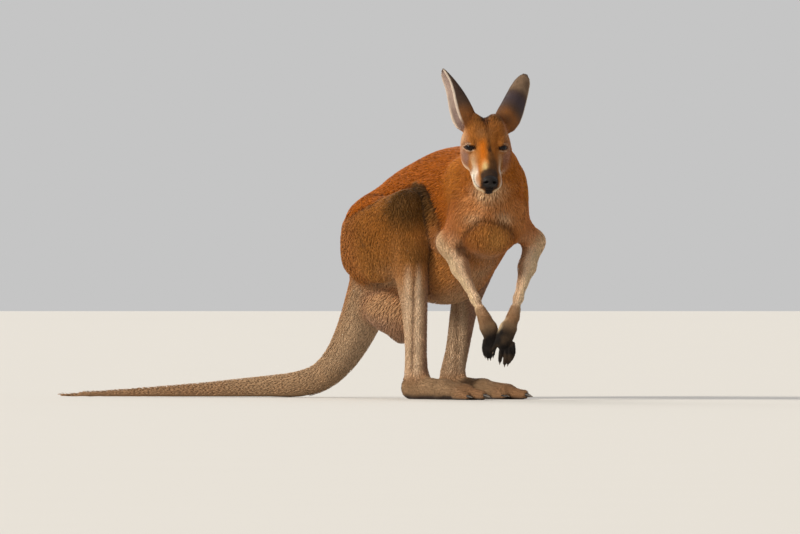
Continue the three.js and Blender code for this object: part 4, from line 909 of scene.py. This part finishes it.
    # ears
    for s, er in (("r", ear_r), ("l", ear_l)):
        t = W[:, RI["ear_" + s]]
        side, k, ac = er.inner(p)
        base = np.repeat(EAR_BACK[None], len(p), 0)
        base = lay(base, srgb(132, 82, 40), step(0.38 - k, 0, 0.22) * (0.9 + 0.5 * mid))
        base = lay(base, srgb(62, 46, 34), 0.7 * bell(k, 0.08, 0.09) * step(0.5 - ac, 0, 0.3))
        if s == "l":
            base = lay(base, EAR_BAND, 0.6 * bell(k, 0.5, 0.14))
            base = lay(base, EAR_TIP, 0.9 * step(k, 0.6, 0.72) * (0.9 + 0.4 * fine))
            base = lay(base, srgb(70, 56, 52), 0.85 * step(k, 0.58, 0.66) * step(ac, 0.55, 0.9) * step((p - er.base) @ er.W, -1, 1))
        else:
            base = lay(base, srgb(70, 52, 46), 0.6 * bell(k, 0.55, 0.2))
            base = lay(base, EAR_TIP, 0.5 * step(k, 0.82, 0.95))
        base = lay(base, EAR_IN, step(side, -0.1, 0.5))
        base = lay(base, srgb(112, 84, 76), 0.7 * step(side, 0, 0.5) * step(0.55 - ac, 0, 0.4) * step(0.75 - k, 0, 0.3))
        base = lay(base, EAR_RIM, 0.85 * step(ac, 0.93, 0.985) * step(k, 0.0, 0.15))
        base = lay(base, srgb(196, 174, 160), 0.6 * step(side, 0, 0.5) * step(ac, 0.45, 0.9) * step(k, 0.3, 0.5))
        base = lay(base, srgb(60, 44, 38), 0.7 * step(k, 0.965, 0.99))
        c = c * (1 - t[:, None]) + base * t[:, None]
    # the gentle unevenness of a living coat
    soft = (1 - 0.6 * t)[:, None]
    c = c * (1 + soft * (0.10 * big + 0.10 * mid + 0.08 * fine)[:, None])
    return np.clip(c, 0.003, 1), nose * W[:, RI["head"]]


def crease_shade(D, p):
    """how much painted shade falls: 1 in the fold between haunch and flank and where the fore limbs leave the body"""
    out = np.zeros(len(p))
    body = np.minimum(D[:, RI["trunk"]], D[:, RI["neck"]])
    for s in ("_r", "_l"):
        leg = np.minimum(D[:, RI["thigh" + s]], D[:, RI["shank" + s]])
        out = np.maximum(out, bell(leg - body, 0, 7) * step(-p[:, 1], -70, 130) * step(30 - np.abs(body), 0, 20))
        arm = np.minimum(D[:, RI["upper" + s]], D[:, RI["fore" + s]])
        out = np.maximum(out, 0.55 * bell(arm - body, 0, 7) * step(30 - np.abs(body), 0, 20))
    return out


def lie_of(p, n, W):
    """the way the coat lies"""
    f = np.zeros_like(p)
    add = lambda name, way: f.__iadd__(W[:, [RI[name]]] * way)
    down = np.array([0, 0, -1.0])
    for name, o, fall in (("trunk", trunk, 0.5), ("neck", neck, 0.35)):
        _, T = o.d(p, True)
        add(name, -T + fall * down)
    add("under", unit([0, 0.6, -0.8]))
    add("scrotum", down)
    add("chest", unit([0.1, 0.45, -0.9]))
    _, T = tail.d(p, True)
    add("tail", T)
    for s, leg, arm, er in (("_r", leg_r, arm_r, ear_r), ("_l", leg_l, arm_l, ear_l)):
        back = step(90 + p[:, 1], -60, 80)[:, None]
        add("thigh" + s, np.array([0, 0.25, -1.0]) + back * np.array([0, -0.1, -0.1]))
        _, T = leg.shank.d(p, True)
        add("shank" + s, T)
        add("foot" + s, unit([0, -1, -0.15]))
        add("blade" + s, unit(arm.upper.seg[0][3] + np.array([0, 0.5, -0.4])))
        add("upper" + s, arm.upper.seg[0][3] + 0.3 * down)
        add("fore" + s, unit(arm.wr - arm.el))
        add("hand" + s, arm.hand_dir)
        add("ear" + s, er.A)
    q = (p - HO) @ HR.T
    out = np.sign(q[:, [0]]) * HL * step(np.abs(q[:, 0]), 4, 30)[:, None]
    add("head", -HF + 0.35 * out - 0.12 * HU)
    f = f - (f * n).sum(1, keepdims=True) * n
    l = np.linalg.norm(f, axis=1, keepdims=True)
    alt = np.cross(n, [0.3, 0.1, 1.0])
    f = np.where(l > 0.05, f / np.maximum(l, 1e-6), alt / np.maximum(np.linalg.norm(alt, axis=1, keepdims=True), 1e-6))
    return f


# ------------------------------------------------------------------ unwrap: flat charts of the skin's own shape, packed in rows
def unwrap(v, q, e, cnt, W):
    n = normals(v, q)
    for _ in range(8):
        n = 0.4 * n + 0.6 * spread(n, e, cnt)
    fn = n[q].mean(1)
    reg = W[q].mean(1).argmax(1)
    ax = np.abs(fn).argmax(1)
    cls = reg * 6 + ax * 2 + (fn[np.arange(len(q)), ax] > 0)
    # faces joined through shared edges inside one class
    fe = np.concatenate([q[:, [0, 1]], q[:, [1, 2]], q[:, [2, 3]], q[:, [3, 0]]])
    fe.sort(1)
    owner = np.tile(np.arange(len(q)), 4)
    key = fe[:, 0].astype(np.int64) * len(v) + fe[:, 1]
    order = np.argsort(key, kind="stable")
    k, o = key[order], owner[order]
    same = k[1:] == k[:-1]
    pair = np.stack([o[:-1][same], o[1:][same]], 1)
    pair = pair[cls[pair[:, 0]] == cls[pair[:, 1]]]
    lab = components(len(q), pair)
    ids, chart = np.unique(lab, return_inverse=True)
    chart = chart.reshape(-1)
    axis_of = np.zeros(len(ids), int)
    axis_of[chart] = ax
    pu, pv = np.array([1, 0, 0])[axis_of[chart]], np.array([2, 2, 1])[axis_of[chart]]
    P = v[q]
    U = np.take_along_axis(P, pu[:, None, None], 2)[:, :, 0]
    V = np.take_along_axis(P, pv[:, None, None], 2)[:, :, 0]
    big = 1e9
    u0, v0, u1, v1 = np.full(len(ids), big), np.full(len(ids), big), np.full(len(ids), -big), np.full(len(ids), -big)
    np.minimum.at(u0, chart, U.min(1))
    np.minimum.at(v0, chart, V.min(1))
    np.maximum.at(u1, chart, U.max(1))
    np.maximum.at(v1, chart, V.max(1))
    gap = 4.0
    wd, ht = u1 - u0 + 2 * gap, v1 - v0 + 2 * gap
    side = math.sqrt((wd * ht).sum()) * 1.06
    while True:
        x = y = row = 0.0
        px, py = np.zeros(len(ids)), np.zeros(len(ids))
        for i in np.argsort(-ht):
            if x + wd[i] > side:
                x, y, row = 0.0, y + row, 0.0
            px[i], py[i] = x, y
            x += wd[i]
            row = max(row, ht[i])
        if y + row <= side:
            break
        side *= 1.03
    U = (U - u0[chart][:, None] + px[chart][:, None] + gap) / side
    V = (V - v0[chart][:, None] + py[chart][:, None] + gap) / side
    return np.stack([U, V], -1), len(ids)


# ------------------------------------------------------------------ tufts
def scatter(v, q, n, W):
    """places on the skin, evenly thinned: face, weights of its corners, spacing class"""
    tri = np.concatenate([q[:, [0, 1, 2]], q[:, [0, 2, 3]]])
    face = np.concatenate([np.arange(len(q))] * 2)
    corner = np.concatenate([np.tile([0, 1, 2], (len(q), 1)), np.tile([0, 2, 3], (len(q), 1))])
    A = 0.5 * np.linalg.norm(np.cross(v[tri[:, 1]] - v[tri[:, 0]], v[tri[:, 2]] - v[tri[:, 0]]), axis=1)
    s = (W @ TABLE[:, 3])[tri].mean(1)
    hd = W[:, RI["head"]][tri].mean(1)
    lam = A / s**2 * 3.6
    k = rng.poisson(lam)
    idx = np.repeat(np.arange(len(tri)), k)
    r1, r2 = np.sqrt(rng.random(len(idx))), rng.random(len(idx))
    bary = np.stack([1 - r1, r1 * (1 - r2), r1 * r2], 1)
    P = (v[tri[idx]] * bary[:, :, None]).sum(1)
    cell = np.exp(np.round(np.log(s[idx]) / 0.12) * 0.12)
    g = np.floor(P / cell[:, None]).astype(np.int64)
    key = ((g[:, 0] * 73856093) ^ (g[:, 1] * 19349663) ^ (g[:, 2] * 83492791)) * 64 + np.round(np.log(s[idx]) / 0.12).astype(np.int64)
    _, first = np.unique(key, return_index=True)
    first.sort()
    idx, bary, P = idx[first], bary[first], P[first]
    return P, tri[idx], face[idx], corner[idx], bary


def make_coat(v, q, n, W, uv, D):
    P, tri, face, corner, bary = scatter(v, q, n, W)
    mixv = lambda x: (x[tri] * bary[:, :, None]).sum(1)
    N = mixv(n)
    N /= np.linalg.norm(N, axis=1, keepdims=True)
    Wt = mixv(W)
    root_uv = (np.take_along_axis(uv[face], corner[:, :, None], 1) * bary[:, :, None]).sum(1)
    head = (P - HO) @ HR.T
    # bare places: nose leather, the lids' edges, lips, pads and soles
    bare = np.zeros(len(P), bool)
    h = Wt[:, RI["head"]] > 0.5
    for s_ in (1, -1):
        bare |= h & (lid_gap(P, s_) < 1.6) & (np.linalg.norm(P - EYE_AT[s_], axis=1) < 24)
    bare |= h & (head[:, 1] > 107) & (np.abs(head[:, 0]) < 16) & (head[:, 2] > -33)
    bare |= h & (np.abs(head[:, 2] + 47) < 1.8) & (head[:, 1] > 60)
    bare |= (P[:, 2] < 9) & (N[:, 2] < -0.3)
    for e_ in (ear_r, ear_l):
        side, k, ac = e_.inner(P)
        inside = (Wt[:, [RI["ear_r"], RI["ear_l"]]].sum(1) > 0.5) & (side > 0.3) & (ac < 0.6) & (np.linalg.norm(P - e_.base, axis=1) < 200)
        bare |= inside & (hash3(np.floor(P * 3).astype(np.int64), 4) < 0.45) & (np.abs(k - 0.5) < 0.6)
    ok = ~bare
    P, N, Wt, root_uv, head = P[ok], N[ok], Wt[ok], root_uv[ok], head[ok]
    m = len(P)
    F = lie_of(P, N, Wt)
    S = np.cross(N, F)
    T = Wt @ TABLE
    depth, length, width = T[:, 0], T[:, 1], T[:, 2]
    wh = Wt[:, RI["head"]]
    v_ = head[:, 1]
    length = length * (1 + wh * 1.0 * step(-v_, 10, 80)) * (1 - 0.42 * wh * step(v_, 40, 90))
    depth = depth + wh * 2.2 * step(-v_, 0, 60)
    width = width * (1 + 0.5 * wh * step(-v_, 10, 80)) * (1 - 0.25 * wh * step(v_, 40, 90))
    lift = np.ones(m)
    # long loose locks: behind the haunch where it overhangs the tail, and at the throat
    tt = to_turn(P)
    fringe = np.maximum(Wt[:, RI["thigh_r"]], Wt[:, RI["thigh_l"]]) * bell(P[:, 2], 262, 38) * step(60 + P[:, 1], -30, 60)
    fringe = np.maximum(fringe, 0.8 * Wt[:, RI["trunk"]] * bell(P[:, 2], 250, 34) * step(60 + P[:, 1], -30, 60))
    throat = (Wt[:, RI["neck"]] + Wt[:, RI["chest"]] + Wt[:, RI["trunk"]]) * bell(tt[:, 2], 530, 36) * bell(tt[:, 0], 226, 46) * step(-tt[:, 1], 560, 600)
    length = length * (1 + 0.9 * fringe + 0.35 * throat)
    lift += 0.8 * fringe + 0.5 * throat
    # swirls and partings: the lie turns a little from place to place, and each lock by its own chance
    turn_by = 0.2 * fog(P, 70, 21) + 0.1 * fog(P, 22, 22) + rng.normal(0, 0.11, m)
    haunch = np.maximum(Wt[:, RI["thigh_r"]], Wt[:, RI["thigh_l"]]) * step(430 - P[:, 2], 0, 120)
    turn_by = turn_by * (1 + 0.9 * haunch) + 0.3 * haunch * fog(P, 26, 23)
    cs, sn = np.cos(turn_by)[:, None], np.sin(turn_by)[:, None]
    F, S = F * cs + S * sn, S * cs - F * sn
    L = length * rng.uniform(0.72, 1.18, m)
    Wd = width * rng.uniform(0.75, 1.2, m)
    H = depth * lift * rng.uniform(0.7, 1.12, m) + 0.25
    side = rng.normal(0, 0.07, m)
    base = P - N * (0.35 + 0.06 * depth)[:, None]
    low = P + F * (0.42 * L)[:, None] + N * (0.62 * H)[:, None] + S * (0.25 * side * L)[:, None]
    tip = P + F * L[:, None] + N * (0.96 * H)[:, None] + S * (side * L)[:, None]
    # the skin curves away under a long lock: keep its tip near the surface
    for arr in (low, tip):
        d = join(distances(arr), arr)
        arr -= N * np.clip(d, -1.0, 6)[:, None] * (d > -0.4)[:, None]
    tk = Wd * 0.34

    def ring(c, wd, th):
        return np.stack([c - S * (wd / 2)[:, None], c + S * (wd / 2)[:, None], c + N * th[:, None]], 1)

    R0, R1 = ring(base, Wd * 0.8, tk * 0.9), ring(low, Wd, tk)
    V = np.concatenate([R0, R1, tip[:, None]], 1)          # m, 7, 3
    tris = np.array([[0, 2, 1], [0, 1, 4], [0, 4, 3], [1, 2, 5], [1, 5, 4], [2, 0, 3], [2, 3, 5], [3, 4, 6], [4, 5, 6], [5, 3, 6]])
    V[:, :, 2] = np.maximum(V[:, :, 2], 0.25)
    col, _ = paint(P, N, Wt)
    # painted shade: tufts darkened in the creases and along the haunch fold
    cr = np.maximum(crease_shade(distances(P), P), 1.1 * haunch_fold(P))
    col = col * (1 - 0.66 * cr)[:, None]
    own = (1 + rng.normal(0, 0.075, m))[:, None]
    col = col * np.clip(own, 0.7, 1.35)
    pale = (rng.random(m) < 0.10)[:, None]
    col = np.where(pale, col * 1.22 + 0.01, col)
    shade = np.array([0.74, 0.74, 0.77, 0.97, 0.97, 1.0, 1.14])
    C = col[:, None, :] * shade[None, :, None]
    po = np.array([[-0.0011, -0.0011], [0.0011, -0.0011], [0.0, -0.0004], [-0.0012, 0.0004], [0.0012, 0.0004], [0.0, 0.001], [0.0, 0.0015]])
    UV = root_uv[:, None, :] + po[None]
    return V, tris, C, UV, Wt, S


def build(name, V, faces, corners_uv=None, colours=None, smooth=True):
    me = bpy.data.meshes.new(name)
    nf, k = faces.shape
    me.vertices.add(len(V))
    me.vertices.foreach_set("co", metres(V).astype(np.float32).ravel())
    me.loops.add(nf * k)
    me.loops.foreach_set("vertex_index", faces.astype(np.int32).ravel())
    me.polygons.add(nf)
    me.polygons.foreach_set("loop_start", np.arange(0, nf * k, k, dtype=np.int32))
    me.polygons.foreach_set("loop_total", np.full(nf, k, dtype=np.int32))
    me.polygons.foreach_set("use_smooth", np.full(nf, smooth))
    me.update(calc_edges=True)
    if corners_uv is not None:
        lay_ = me.uv_layers.new(name="OFBake")
        lay_.data.foreach_set("uv", corners_uv.astype(np.float32).ravel())
    if colours is not None:
        at = me.color_attributes.new("Coat", "FLOAT_COLOR", "POINT")
        at.data.foreach_set("color", np.concatenate([colours, np.ones((len(colours), 1))], 1).astype(np.float32).ravel())
    ob = bpy.data.objects.new(name, me)
    bpy.context.scene.collection.objects.link(ob)
    return ob


# ------------------------------------------------------------------ materials
def material(name):
    m = bpy.data.materials.new(name)
    m.use_nodes = True
    nt = m.node_tree
    return m, nt, nt.nodes["Principled BSDF"], nt.nodes.new("ShaderNodeTexCoord")


def socket(node, name):
    return node.inputs[name]


def coat_material(name, rough, bump, fine_scale, sheen):
    m, nt, b, tc = material(name)
    at = nt.nodes.new("ShaderNodeAttribute")
    at.attribute_name = "Coat"
    no = nt.nodes.new("ShaderNodeTexNoise")
    no.inputs["Scale"].default_value = fine_scale
    no.inputs["Detail"].default_value = 4
    nt.links.new(tc.outputs["Object"], no.inputs["Vector"])
    ramp = nt.nodes.new("ShaderNodeMapRange")
    ramp.inputs["To Min"].default_value, ramp.inputs["To Max"].default_value = 0.78, 1.22
    nt.links.new(no.outputs["Fac"], ramp.inputs["Value"])
    mul = nt.nodes.new("ShaderNodeVectorMath")
    mul.operation = "SCALE"
    nt.links.new(at.outputs["Color"], mul.inputs[0])
    nt.links.new(ramp.outputs["Result"], mul.inputs["Scale"])
    nt.links.new(mul.outputs["Vector"], b.inputs["Base Color"])
    rr = nt.nodes.new("ShaderNodeMapRange")
    rr.inputs["To Min"].default_value, rr.inputs["To Max"].default_value = rough - 0.1, rough + 0.1
    nt.links.new(no.outputs["Fac"], rr.inputs["Value"])
    nt.links.new(rr.outputs["Result"], b.inputs["Roughness"])
    bp = nt.nodes.new("ShaderNodeBump")
    bp.inputs["Strength"].default_value = bump
    bp.inputs["Distance"].default_value = 0.0008
    nt.links.new(no.outputs["Fac"], bp.inputs["Height"])
    nt.links.new(bp.outputs["Normal"], b.inputs["Normal"])
    b.inputs["Specular IOR Level"].default_value = 0.14
    if sheen:
        b.inputs["Sheen Weight"].default_value = 0.1 * sheen
        b.inputs["Sheen Roughness"].default_value = 0.45
        b.inputs["Sheen Tint"].default_value = (1.0, 0.86, 0.7, 1)
    return m


# ------------------------------------------------------------------ skin and coat
v, q, e, cnt, W = make_skin()
v[:, 2] = np.maximum(v[:, 2], 0.3)
n = normals(v, q)
uv, charts = unwrap(v, q, e, cnt, W)
D = distances(v)
skin_col, nose_mask = paint(v, n, W)
# painted shade: the skin darkened in the creases and along the haunch fold
skin_col = skin_col * (1 - 0.66 * np.maximum(crease_shade(D, v), 1.1 * haunch_fold(v)))[:, None]
ink = np.maximum(nose_mask, 0)[:, None]
skin_col = skin_col * (0.86 + 0.14 * ink)
skin = build("skin", v, q, uv, skin_col)
flesh = ["trunk", "neck", "head", "tail_root", "tail_mid", "tail_tip"] + [f"{a}_{s}" for a in ("thigh", "shank", "foot", "upper_arm", "forearm", "hand", "ear") for s in "rl"]
skin.data.materials.append(coat_material("skin_and_short_coat", 0.72, 0.35, 420, 0.08))
leather, nt, bs, tc = material("nose_leather")
bs.inputs["Specular IOR Level"].default_value = 0.2
vo = nt.nodes.new("ShaderNodeTexVoronoi")
vo.inputs["Scale"].default_value = 900
nt.links.new(tc.outputs["Object"], vo.inputs["Vector"])
cr_ = nt.nodes.new("ShaderNodeMapRange")
cr_.inputs["To Min"].default_value, cr_.inputs["To Max"].default_value = 0.38, 0.6
nt.links.new(vo.outputs["Distance"], cr_.inputs["Value"])
nt.links.new(cr_.outputs["Result"], bs.inputs["Roughness"])
bp_ = nt.nodes.new("ShaderNodeBump")
bp_.inputs["Strength"].default_value, bp_.inputs["Distance"].default_value = 0.5, 0.0006
nt.links.new(vo.outputs["Distance"], bp_.inputs["Height"])
nt.links.new(bp_.outputs["Normal"], bs.inputs["Normal"])
mixc = nt.nodes.new("ShaderNodeMix")
mixc.data_type = "RGBA"
mixc.inputs["A"].default_value, mixc.inputs["B"].default_value = (0.004, 0.0035, 0.0035, 1), (0.018, 0.013, 0.012, 1)
nt.links.new(vo.outputs["Distance"], mixc.inputs["Factor"])
nt.links.new(mixc.outputs["Result"], bs.inputs["Base Color"])
skin.data.materials.append(leather)
skin.data.polygons.foreach_set("material_index", (nose_mask[q].mean(1) > 0.5).astype(np.int32))
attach(skin, "root")
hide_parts(*flesh)

hair = coat_material("coat_tufts", 0.62, 0.25, 700, 0.14)
V, tris, C, UV, Wt, S = make_coat(v, q, n, W, uv, D)
order = np.lexsort((V[:, 0, 1], Wt.argmax(1)))
per = 19400
slot_of = {"rusty_coat": ("trunk", "neck", "head", "thigh", "upper", "blade", "chest", "under"), "pale_coat": ("tail", "shank", "scrotum"), "cream_coat": ("fore",), "dark_coat": ("foot", "hand", "ear")}
coat_tris = 0
for k in range(0, len(order), per):
    o = order[k:k + per]
    m = len(o)
    faces = (tris[None] + (np.arange(m) * 7)[:, None, None]).reshape(-1, 3)
    cuv = UV[o][:, tris].reshape(-1, 2)
    ob = build(f"coat_{k // per + 1:02d}", V[o].reshape(-1, 3), faces, cuv, C[o].reshape(-1, 3))
    ob.data.materials.append(hair)
    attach(ob, "root")
    main = REG[np.bincount(Wt[o].argmax(1), minlength=len(REG)).argmax()].split("_")[0]
    [s for s, r in slot_of.items() if main in r][0]
    coat_tris += len(faces)
print("tufts", len(V), "coat triangles", coat_tris, "skin quads", len(q), "charts", charts, flush=True)

# ------------------------------------------------------------------ eyes
eye_mat, nt, bs, tc = material("eyeball")
at = nt.nodes.new("ShaderNodeAttribute")
at.attribute_name = "Coat"
no = nt.nodes.new("ShaderNodeTexNoise")
no.inputs["Scale"].default_value = 900
nt.links.new(tc.outputs["Object"], no.inputs["Vector"])
mr = nt.nodes.new("ShaderNodeMapRange")
mr.inputs["To Min"].default_value, mr.inputs["To Max"].default_value = 0.04, 0.09
nt.links.new(no.outputs["Fac"], mr.inputs["Value"])
nt.links.new(mr.outputs["Result"], bs.inputs["Roughness"])
bb = nt.nodes.new("ShaderNodeBump")
bb.inputs["Strength"].default_value, bb.inputs["Distance"].default_value = 0.03, 0.0002
nt.links.new(no.outputs["Fac"], bb.inputs["Height"])
nt.links.new(bb.outputs["Normal"], bs.inputs["Normal"])
nt.links.new(at.outputs["Color"], bs.inputs["Base Color"])
bs.inputs["Coat Weight"].default_value = 0.06
bs.inputs["Coat Roughness"].default_value = 0.03
bs.inputs["Specular IOR Level"].default_value = 0.16
for s_, nm in ((1, "l"), (-1, "r")):
    nu, nv = 56, 36
    th = np.linspace(0, math.pi, nv)
    ph = np.linspace(0, 2 * math.pi, nu, endpoint=False)
    fr = LID[s_]
    pts, cols = [], []
    for i, t in enumerate(th):
        for f in ph:
            d = np.array([math.cos(t), math.sin(t) * math.cos(f), math.sin(t) * math.sin(f)])
            rad = EYE_R + 0.75 * math.exp(-((t / 0.62) ** 4))
            pts.append(EYE_AT[s_] + rad * (d @ fr))
            pupil = np.hypot(d[1] / 0.36, d[2] / 0.26)
            iris = np.hypot(d[1], d[2]) / 0.72
            c = srgb(34, 19, 11) if d[0] > 0 else srgb(48, 34, 28)
            if d[0] > 0:
                c = c * (1 - 0.55 * min(1, max(0, (iris - 0.75) / 0.25))) * (0.9 + 0.2 * math.sin(40 * f))
                k = min(1, max(0, (1.15 - pupil) / 0.3))
                c = c * (1 - k) + srgb(6, 5, 6) * k
                if iris > 1.05:
                    c = srgb(70, 48, 42)
            cols.append(np.clip(c, 0.001, 1))
    pts, cols = np.array(pts), np.array(cols)
    fc = []
    for i in range(nv - 1):
        for j in range(nu):
            a, b_ = i * nu + j, i * nu + (j + 1) % nu
            fc.append((a, a + nu, b_ + nu, b_) if s_ > 0 else (a, b_, b_ + nu, a + nu))
    fc = np.array(fc)
    ob = build(f"eyeball_{nm}", pts, fc, None, cols)
    bpy.context.view_layer.objects.active = ob
    bm = bmesh.new()
    bm.from_mesh(ob.data)
    bmesh.ops.remove_doubles(bm, verts=bm.verts, dist=1e-7)
    bmesh.ops.recalc_face_normals(bm, faces=bm.faces)
    bm.to_mesh(ob.data)
    bm.free()
    ob.data.materials.append(eye_mat)
    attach(ob, "root")
    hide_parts(f"eye_{nm}")

# ------------------------------------------------------------------ claws
horn, nt, bs, tc = material("claw_horn")
at = nt.nodes.new("ShaderNodeAttribute")
at.attribute_name = "Coat"
no = nt.nodes.new("ShaderNodeTexNoise")
no.inputs["Scale"].default_value, no.inputs["Detail"].default_value = 260, 5
mp = nt.nodes.new("ShaderNodeMapping")
mp.inputs["Scale"].default_value = (1, 0.25, 1)
nt.links.new(tc.outputs["Object"], mp.inputs["Vector"])
nt.links.new(mp.outputs["Vector"], no.inputs["Vector"])
mr = nt.nodes.new("ShaderNodeMapRange")
mr.inputs["To Min"].default_value, mr.inputs["To Max"].default_value = 0.28, 0.5
nt.links.new(no.outputs["Fac"], mr.inputs["Value"])
nt.links.new(mr.outputs["Result"], bs.inputs["Roughness"])
bb = nt.nodes.new("ShaderNodeBump")
bb.inputs["Strength"].default_value, bb.inputs["Distance"].default_value = 0.4, 0.0004
nt.links.new(no.outputs["Fac"], bb.inputs["Height"])
nt.links.new(bb.outputs["Normal"], bs.inputs["Normal"])
nt.links.new(at.outputs["Color"], bs.inputs["Base Color"])


def claw(at_, T, length, r, bend, dark, tipc, N=14, M=12):
    S_ = unit(np.cross(T, [0.3, 0.5, 0.8]))
    U_ = np.cross(T, S_)
    pts, cols = [], []
    for i in range(M + 1):
        t = -0.3 + 1.3 * i / M
        k = max(0, t)
        c = at_ + T * t * length + bend * k * k
        rr = r * (1 - 0.92 * k**1.35)
        for j in range(N):
            f = 2 * math.pi * j / N
            pts.append(c + S_ * rr * math.cos(f) + U_ * rr * math.sin(f) * 0.92)
            cols.append(dark * (1 - k**2) + tipc * k**2)
    faces = [(i * N + j, i * N + (j + 1) % N, (i + 1) * N + (j + 1) % N, (i + 1) * N + j) for i in range(M) for j in range(N)]
    e0, e1 = len(pts), len(pts) + 1
    pts += [at_ - T * 0.3 * length, at_ + T * length + bend]
    cols += [dark, tipc]
    caps = [(e0, (j + 1) % N, j) for j in range(N)] + [(e1, M * N + j, M * N + (j + 1) % N) for j in range(N)]
    return pts, cols, faces, caps


def make_claws(name, rows, nodes):
    me = bpy.data.meshes.new(name)
    P_, C_, F_ = [], [], []
    for at_, T, length, r, bend, dark, tipc in rows:
        p_, c_, f_, k_ = claw(at_, T, length, r, bend, dark, tipc)
        o = len(P_)
        P_ += p_
        C_ += c_
        F_ += [tuple(i + o for i in f) for f in f_ + k_]
    me.from_pydata([tuple(x) for x in metres(np.array(P_))], [], F_)
    me.polygons.foreach_set("use_smooth", np.full(len(F_), True))
    a_ = me.color_attributes.new("Coat", "FLOAT_COLOR", "POINT")
    a_.data.foreach_set("color", np.concatenate([np.clip(C_, 0.001, 1), np.ones((len(C_), 1))], 1).astype(np.float32).ravel())
    ob = bpy.data.objects.new(name, me)
    bpy.context.scene.collection.objects.link(ob)
    bm = bmesh.new()
    bm.from_mesh(me)
    bmesh.ops.recalc_face_normals(bm, faces=bm.faces)
    bm.to_mesh(me)
    bm.free()
    me.materials.append(horn)
    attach(ob, "root")
    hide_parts(*nodes)
    return ob


BLACK, HORN_TIP = srgb(30, 25, 24), srgb(150, 128, 104)
for s, arm in (("r", arm_r), ("l", arm_l)):
    rows = []
    for f in arm.fingers:
        tip, T = f.A[-1, :3], f.seg[-1][3]
        T = unit(T + turn(0, 0.25, -0.25))
        rows.append((tip + 0.4 * T, T, 12, 2.7, turn(0, 3, 0), BLACK, HORN_TIP))
    make_claws(f"claws_hand_{s}", rows, [f"claw_hand_{s}{i}" for i in range(1, 6)])
for s, leg in (("r", leg_r), ("l", leg_l)):
    g, (a0, b0) = leg.g, leg.ankle
    rows = [(ab(a, b, z), unit(ab(0, 0.985, -0.12)), L, r, ab(0, 0, -L * 0.06), BLACK, srgb(92, 78, 66)) for a, b, z, L, r in (
        (a0 - g * 20.5, b0 + 238, 9.5, 17, 3), (a0 - g * 14.5, b0 + 243, 9.5, 17, 3), (a0 + g * 10, b0 + 292, 12.5, 32, 6.6), (a0 + g * 34, b0 + 256, 10, 24, 4.6))]
    make_claws(f"claws_foot_{s}", rows, [f"claw_foot_{s}{i}" for i in range(2, 6)])

# ------------------------------------------------------------------ floor, light, camera
me = bpy.data.meshes.new("floor")
R = 60.0
ring_ = [(R * math.cos(2 * math.pi * i / 96), R * math.sin(2 * math.pi * i / 96), 0) for i in range(96)]
me.from_pydata(ring_, [], [tuple(range(96))])
floor = bpy.data.objects.new("floor", me)
bpy.context.scene.collection.objects.link(floor)
fm, nt, bs, tc = material("pale_floor")
no = nt.nodes.new("ShaderNodeTexNoise")
no.inputs["Scale"].default_value = 3
nt.links.new(tc.outputs["Object"], no.inputs["Vector"])
mr = nt.nodes.new("ShaderNodeMapRange")
mr.inputs["To Min"].default_value, mr.inputs["To Max"].default_value = 0.75, 0.9
nt.links.new(no.outputs["Fac"], mr.inputs["Value"])
nt.links.new(mr.outputs["Result"], bs.inputs["Roughness"])
bs.inputs["Base Color"].default_value = (0.62, 0.60, 0.57, 1)
floor.data.materials.append(fm)

world = bpy.data.worlds.new("studio")
bpy.context.scene.world = world
world.use_nodes = True
bg = world.node_tree.nodes["Background"]
bg.inputs["Color"].default_value = (0.90, 0.90, 0.90, 1)
bg.inputs["Strength"].default_value = 0.62


def aim(ob, at_, target):
    """points an object's -Z at target"""
    from mathutils import Vector
    d = Vector(target) - Vector(at_)
    ob.location = at_
    ob.rotation_mode = "QUATERNION"
    ob.rotation_quaternion = d.to_track_quat("-Z", "Y")


MID = metres(turn(60, -250, 380))


def sun(name, X, Y, z, strength, angle, colour):
    L = bpy.data.lights.new(name, "SUN")
    L.energy, L.angle, L.color = strength, math.radians(angle), colour
    ob = bpy.data.objects.new(name, L)
    bpy.context.scene.collection.objects.link(ob)
    aim(ob, tuple(metres(turn(X, Y, z))), tuple(MID))
    return ob


sun("key", -3600, -1900, 2700, 3.4, 12, (1.0, 0.93, 0.80))
sun("rim", -1500, 3200, 2600, 0.9, 30, (1.0, 0.96, 0.9))

cam_data = bpy.data.cameras.new("camera")
cam = bpy.data.objects.new("camera", cam_data)
bpy.context.scene.collection.objects.link(cam)
DIST, VIEW_W, MID_Y = 30.0, 2.04, -300.0
cam_data.sensor_width = 36
cam_data.lens = 36 * DIST / VIEW_W
aim(cam, tuple(metres(turn(3, MID_Y - DIST * 1000, 338))), tuple(metres(turn(3, MID_Y, 338))))
cam_data.clip_start, cam_data.clip_end = 1.0, 200.0
bpy.context.scene.camera = cam
bpy.context.scene.view_settings.view_transform = "Standard"
bpy.context.scene.view_settings.look = "None"

bpy.context.view_layer.update()
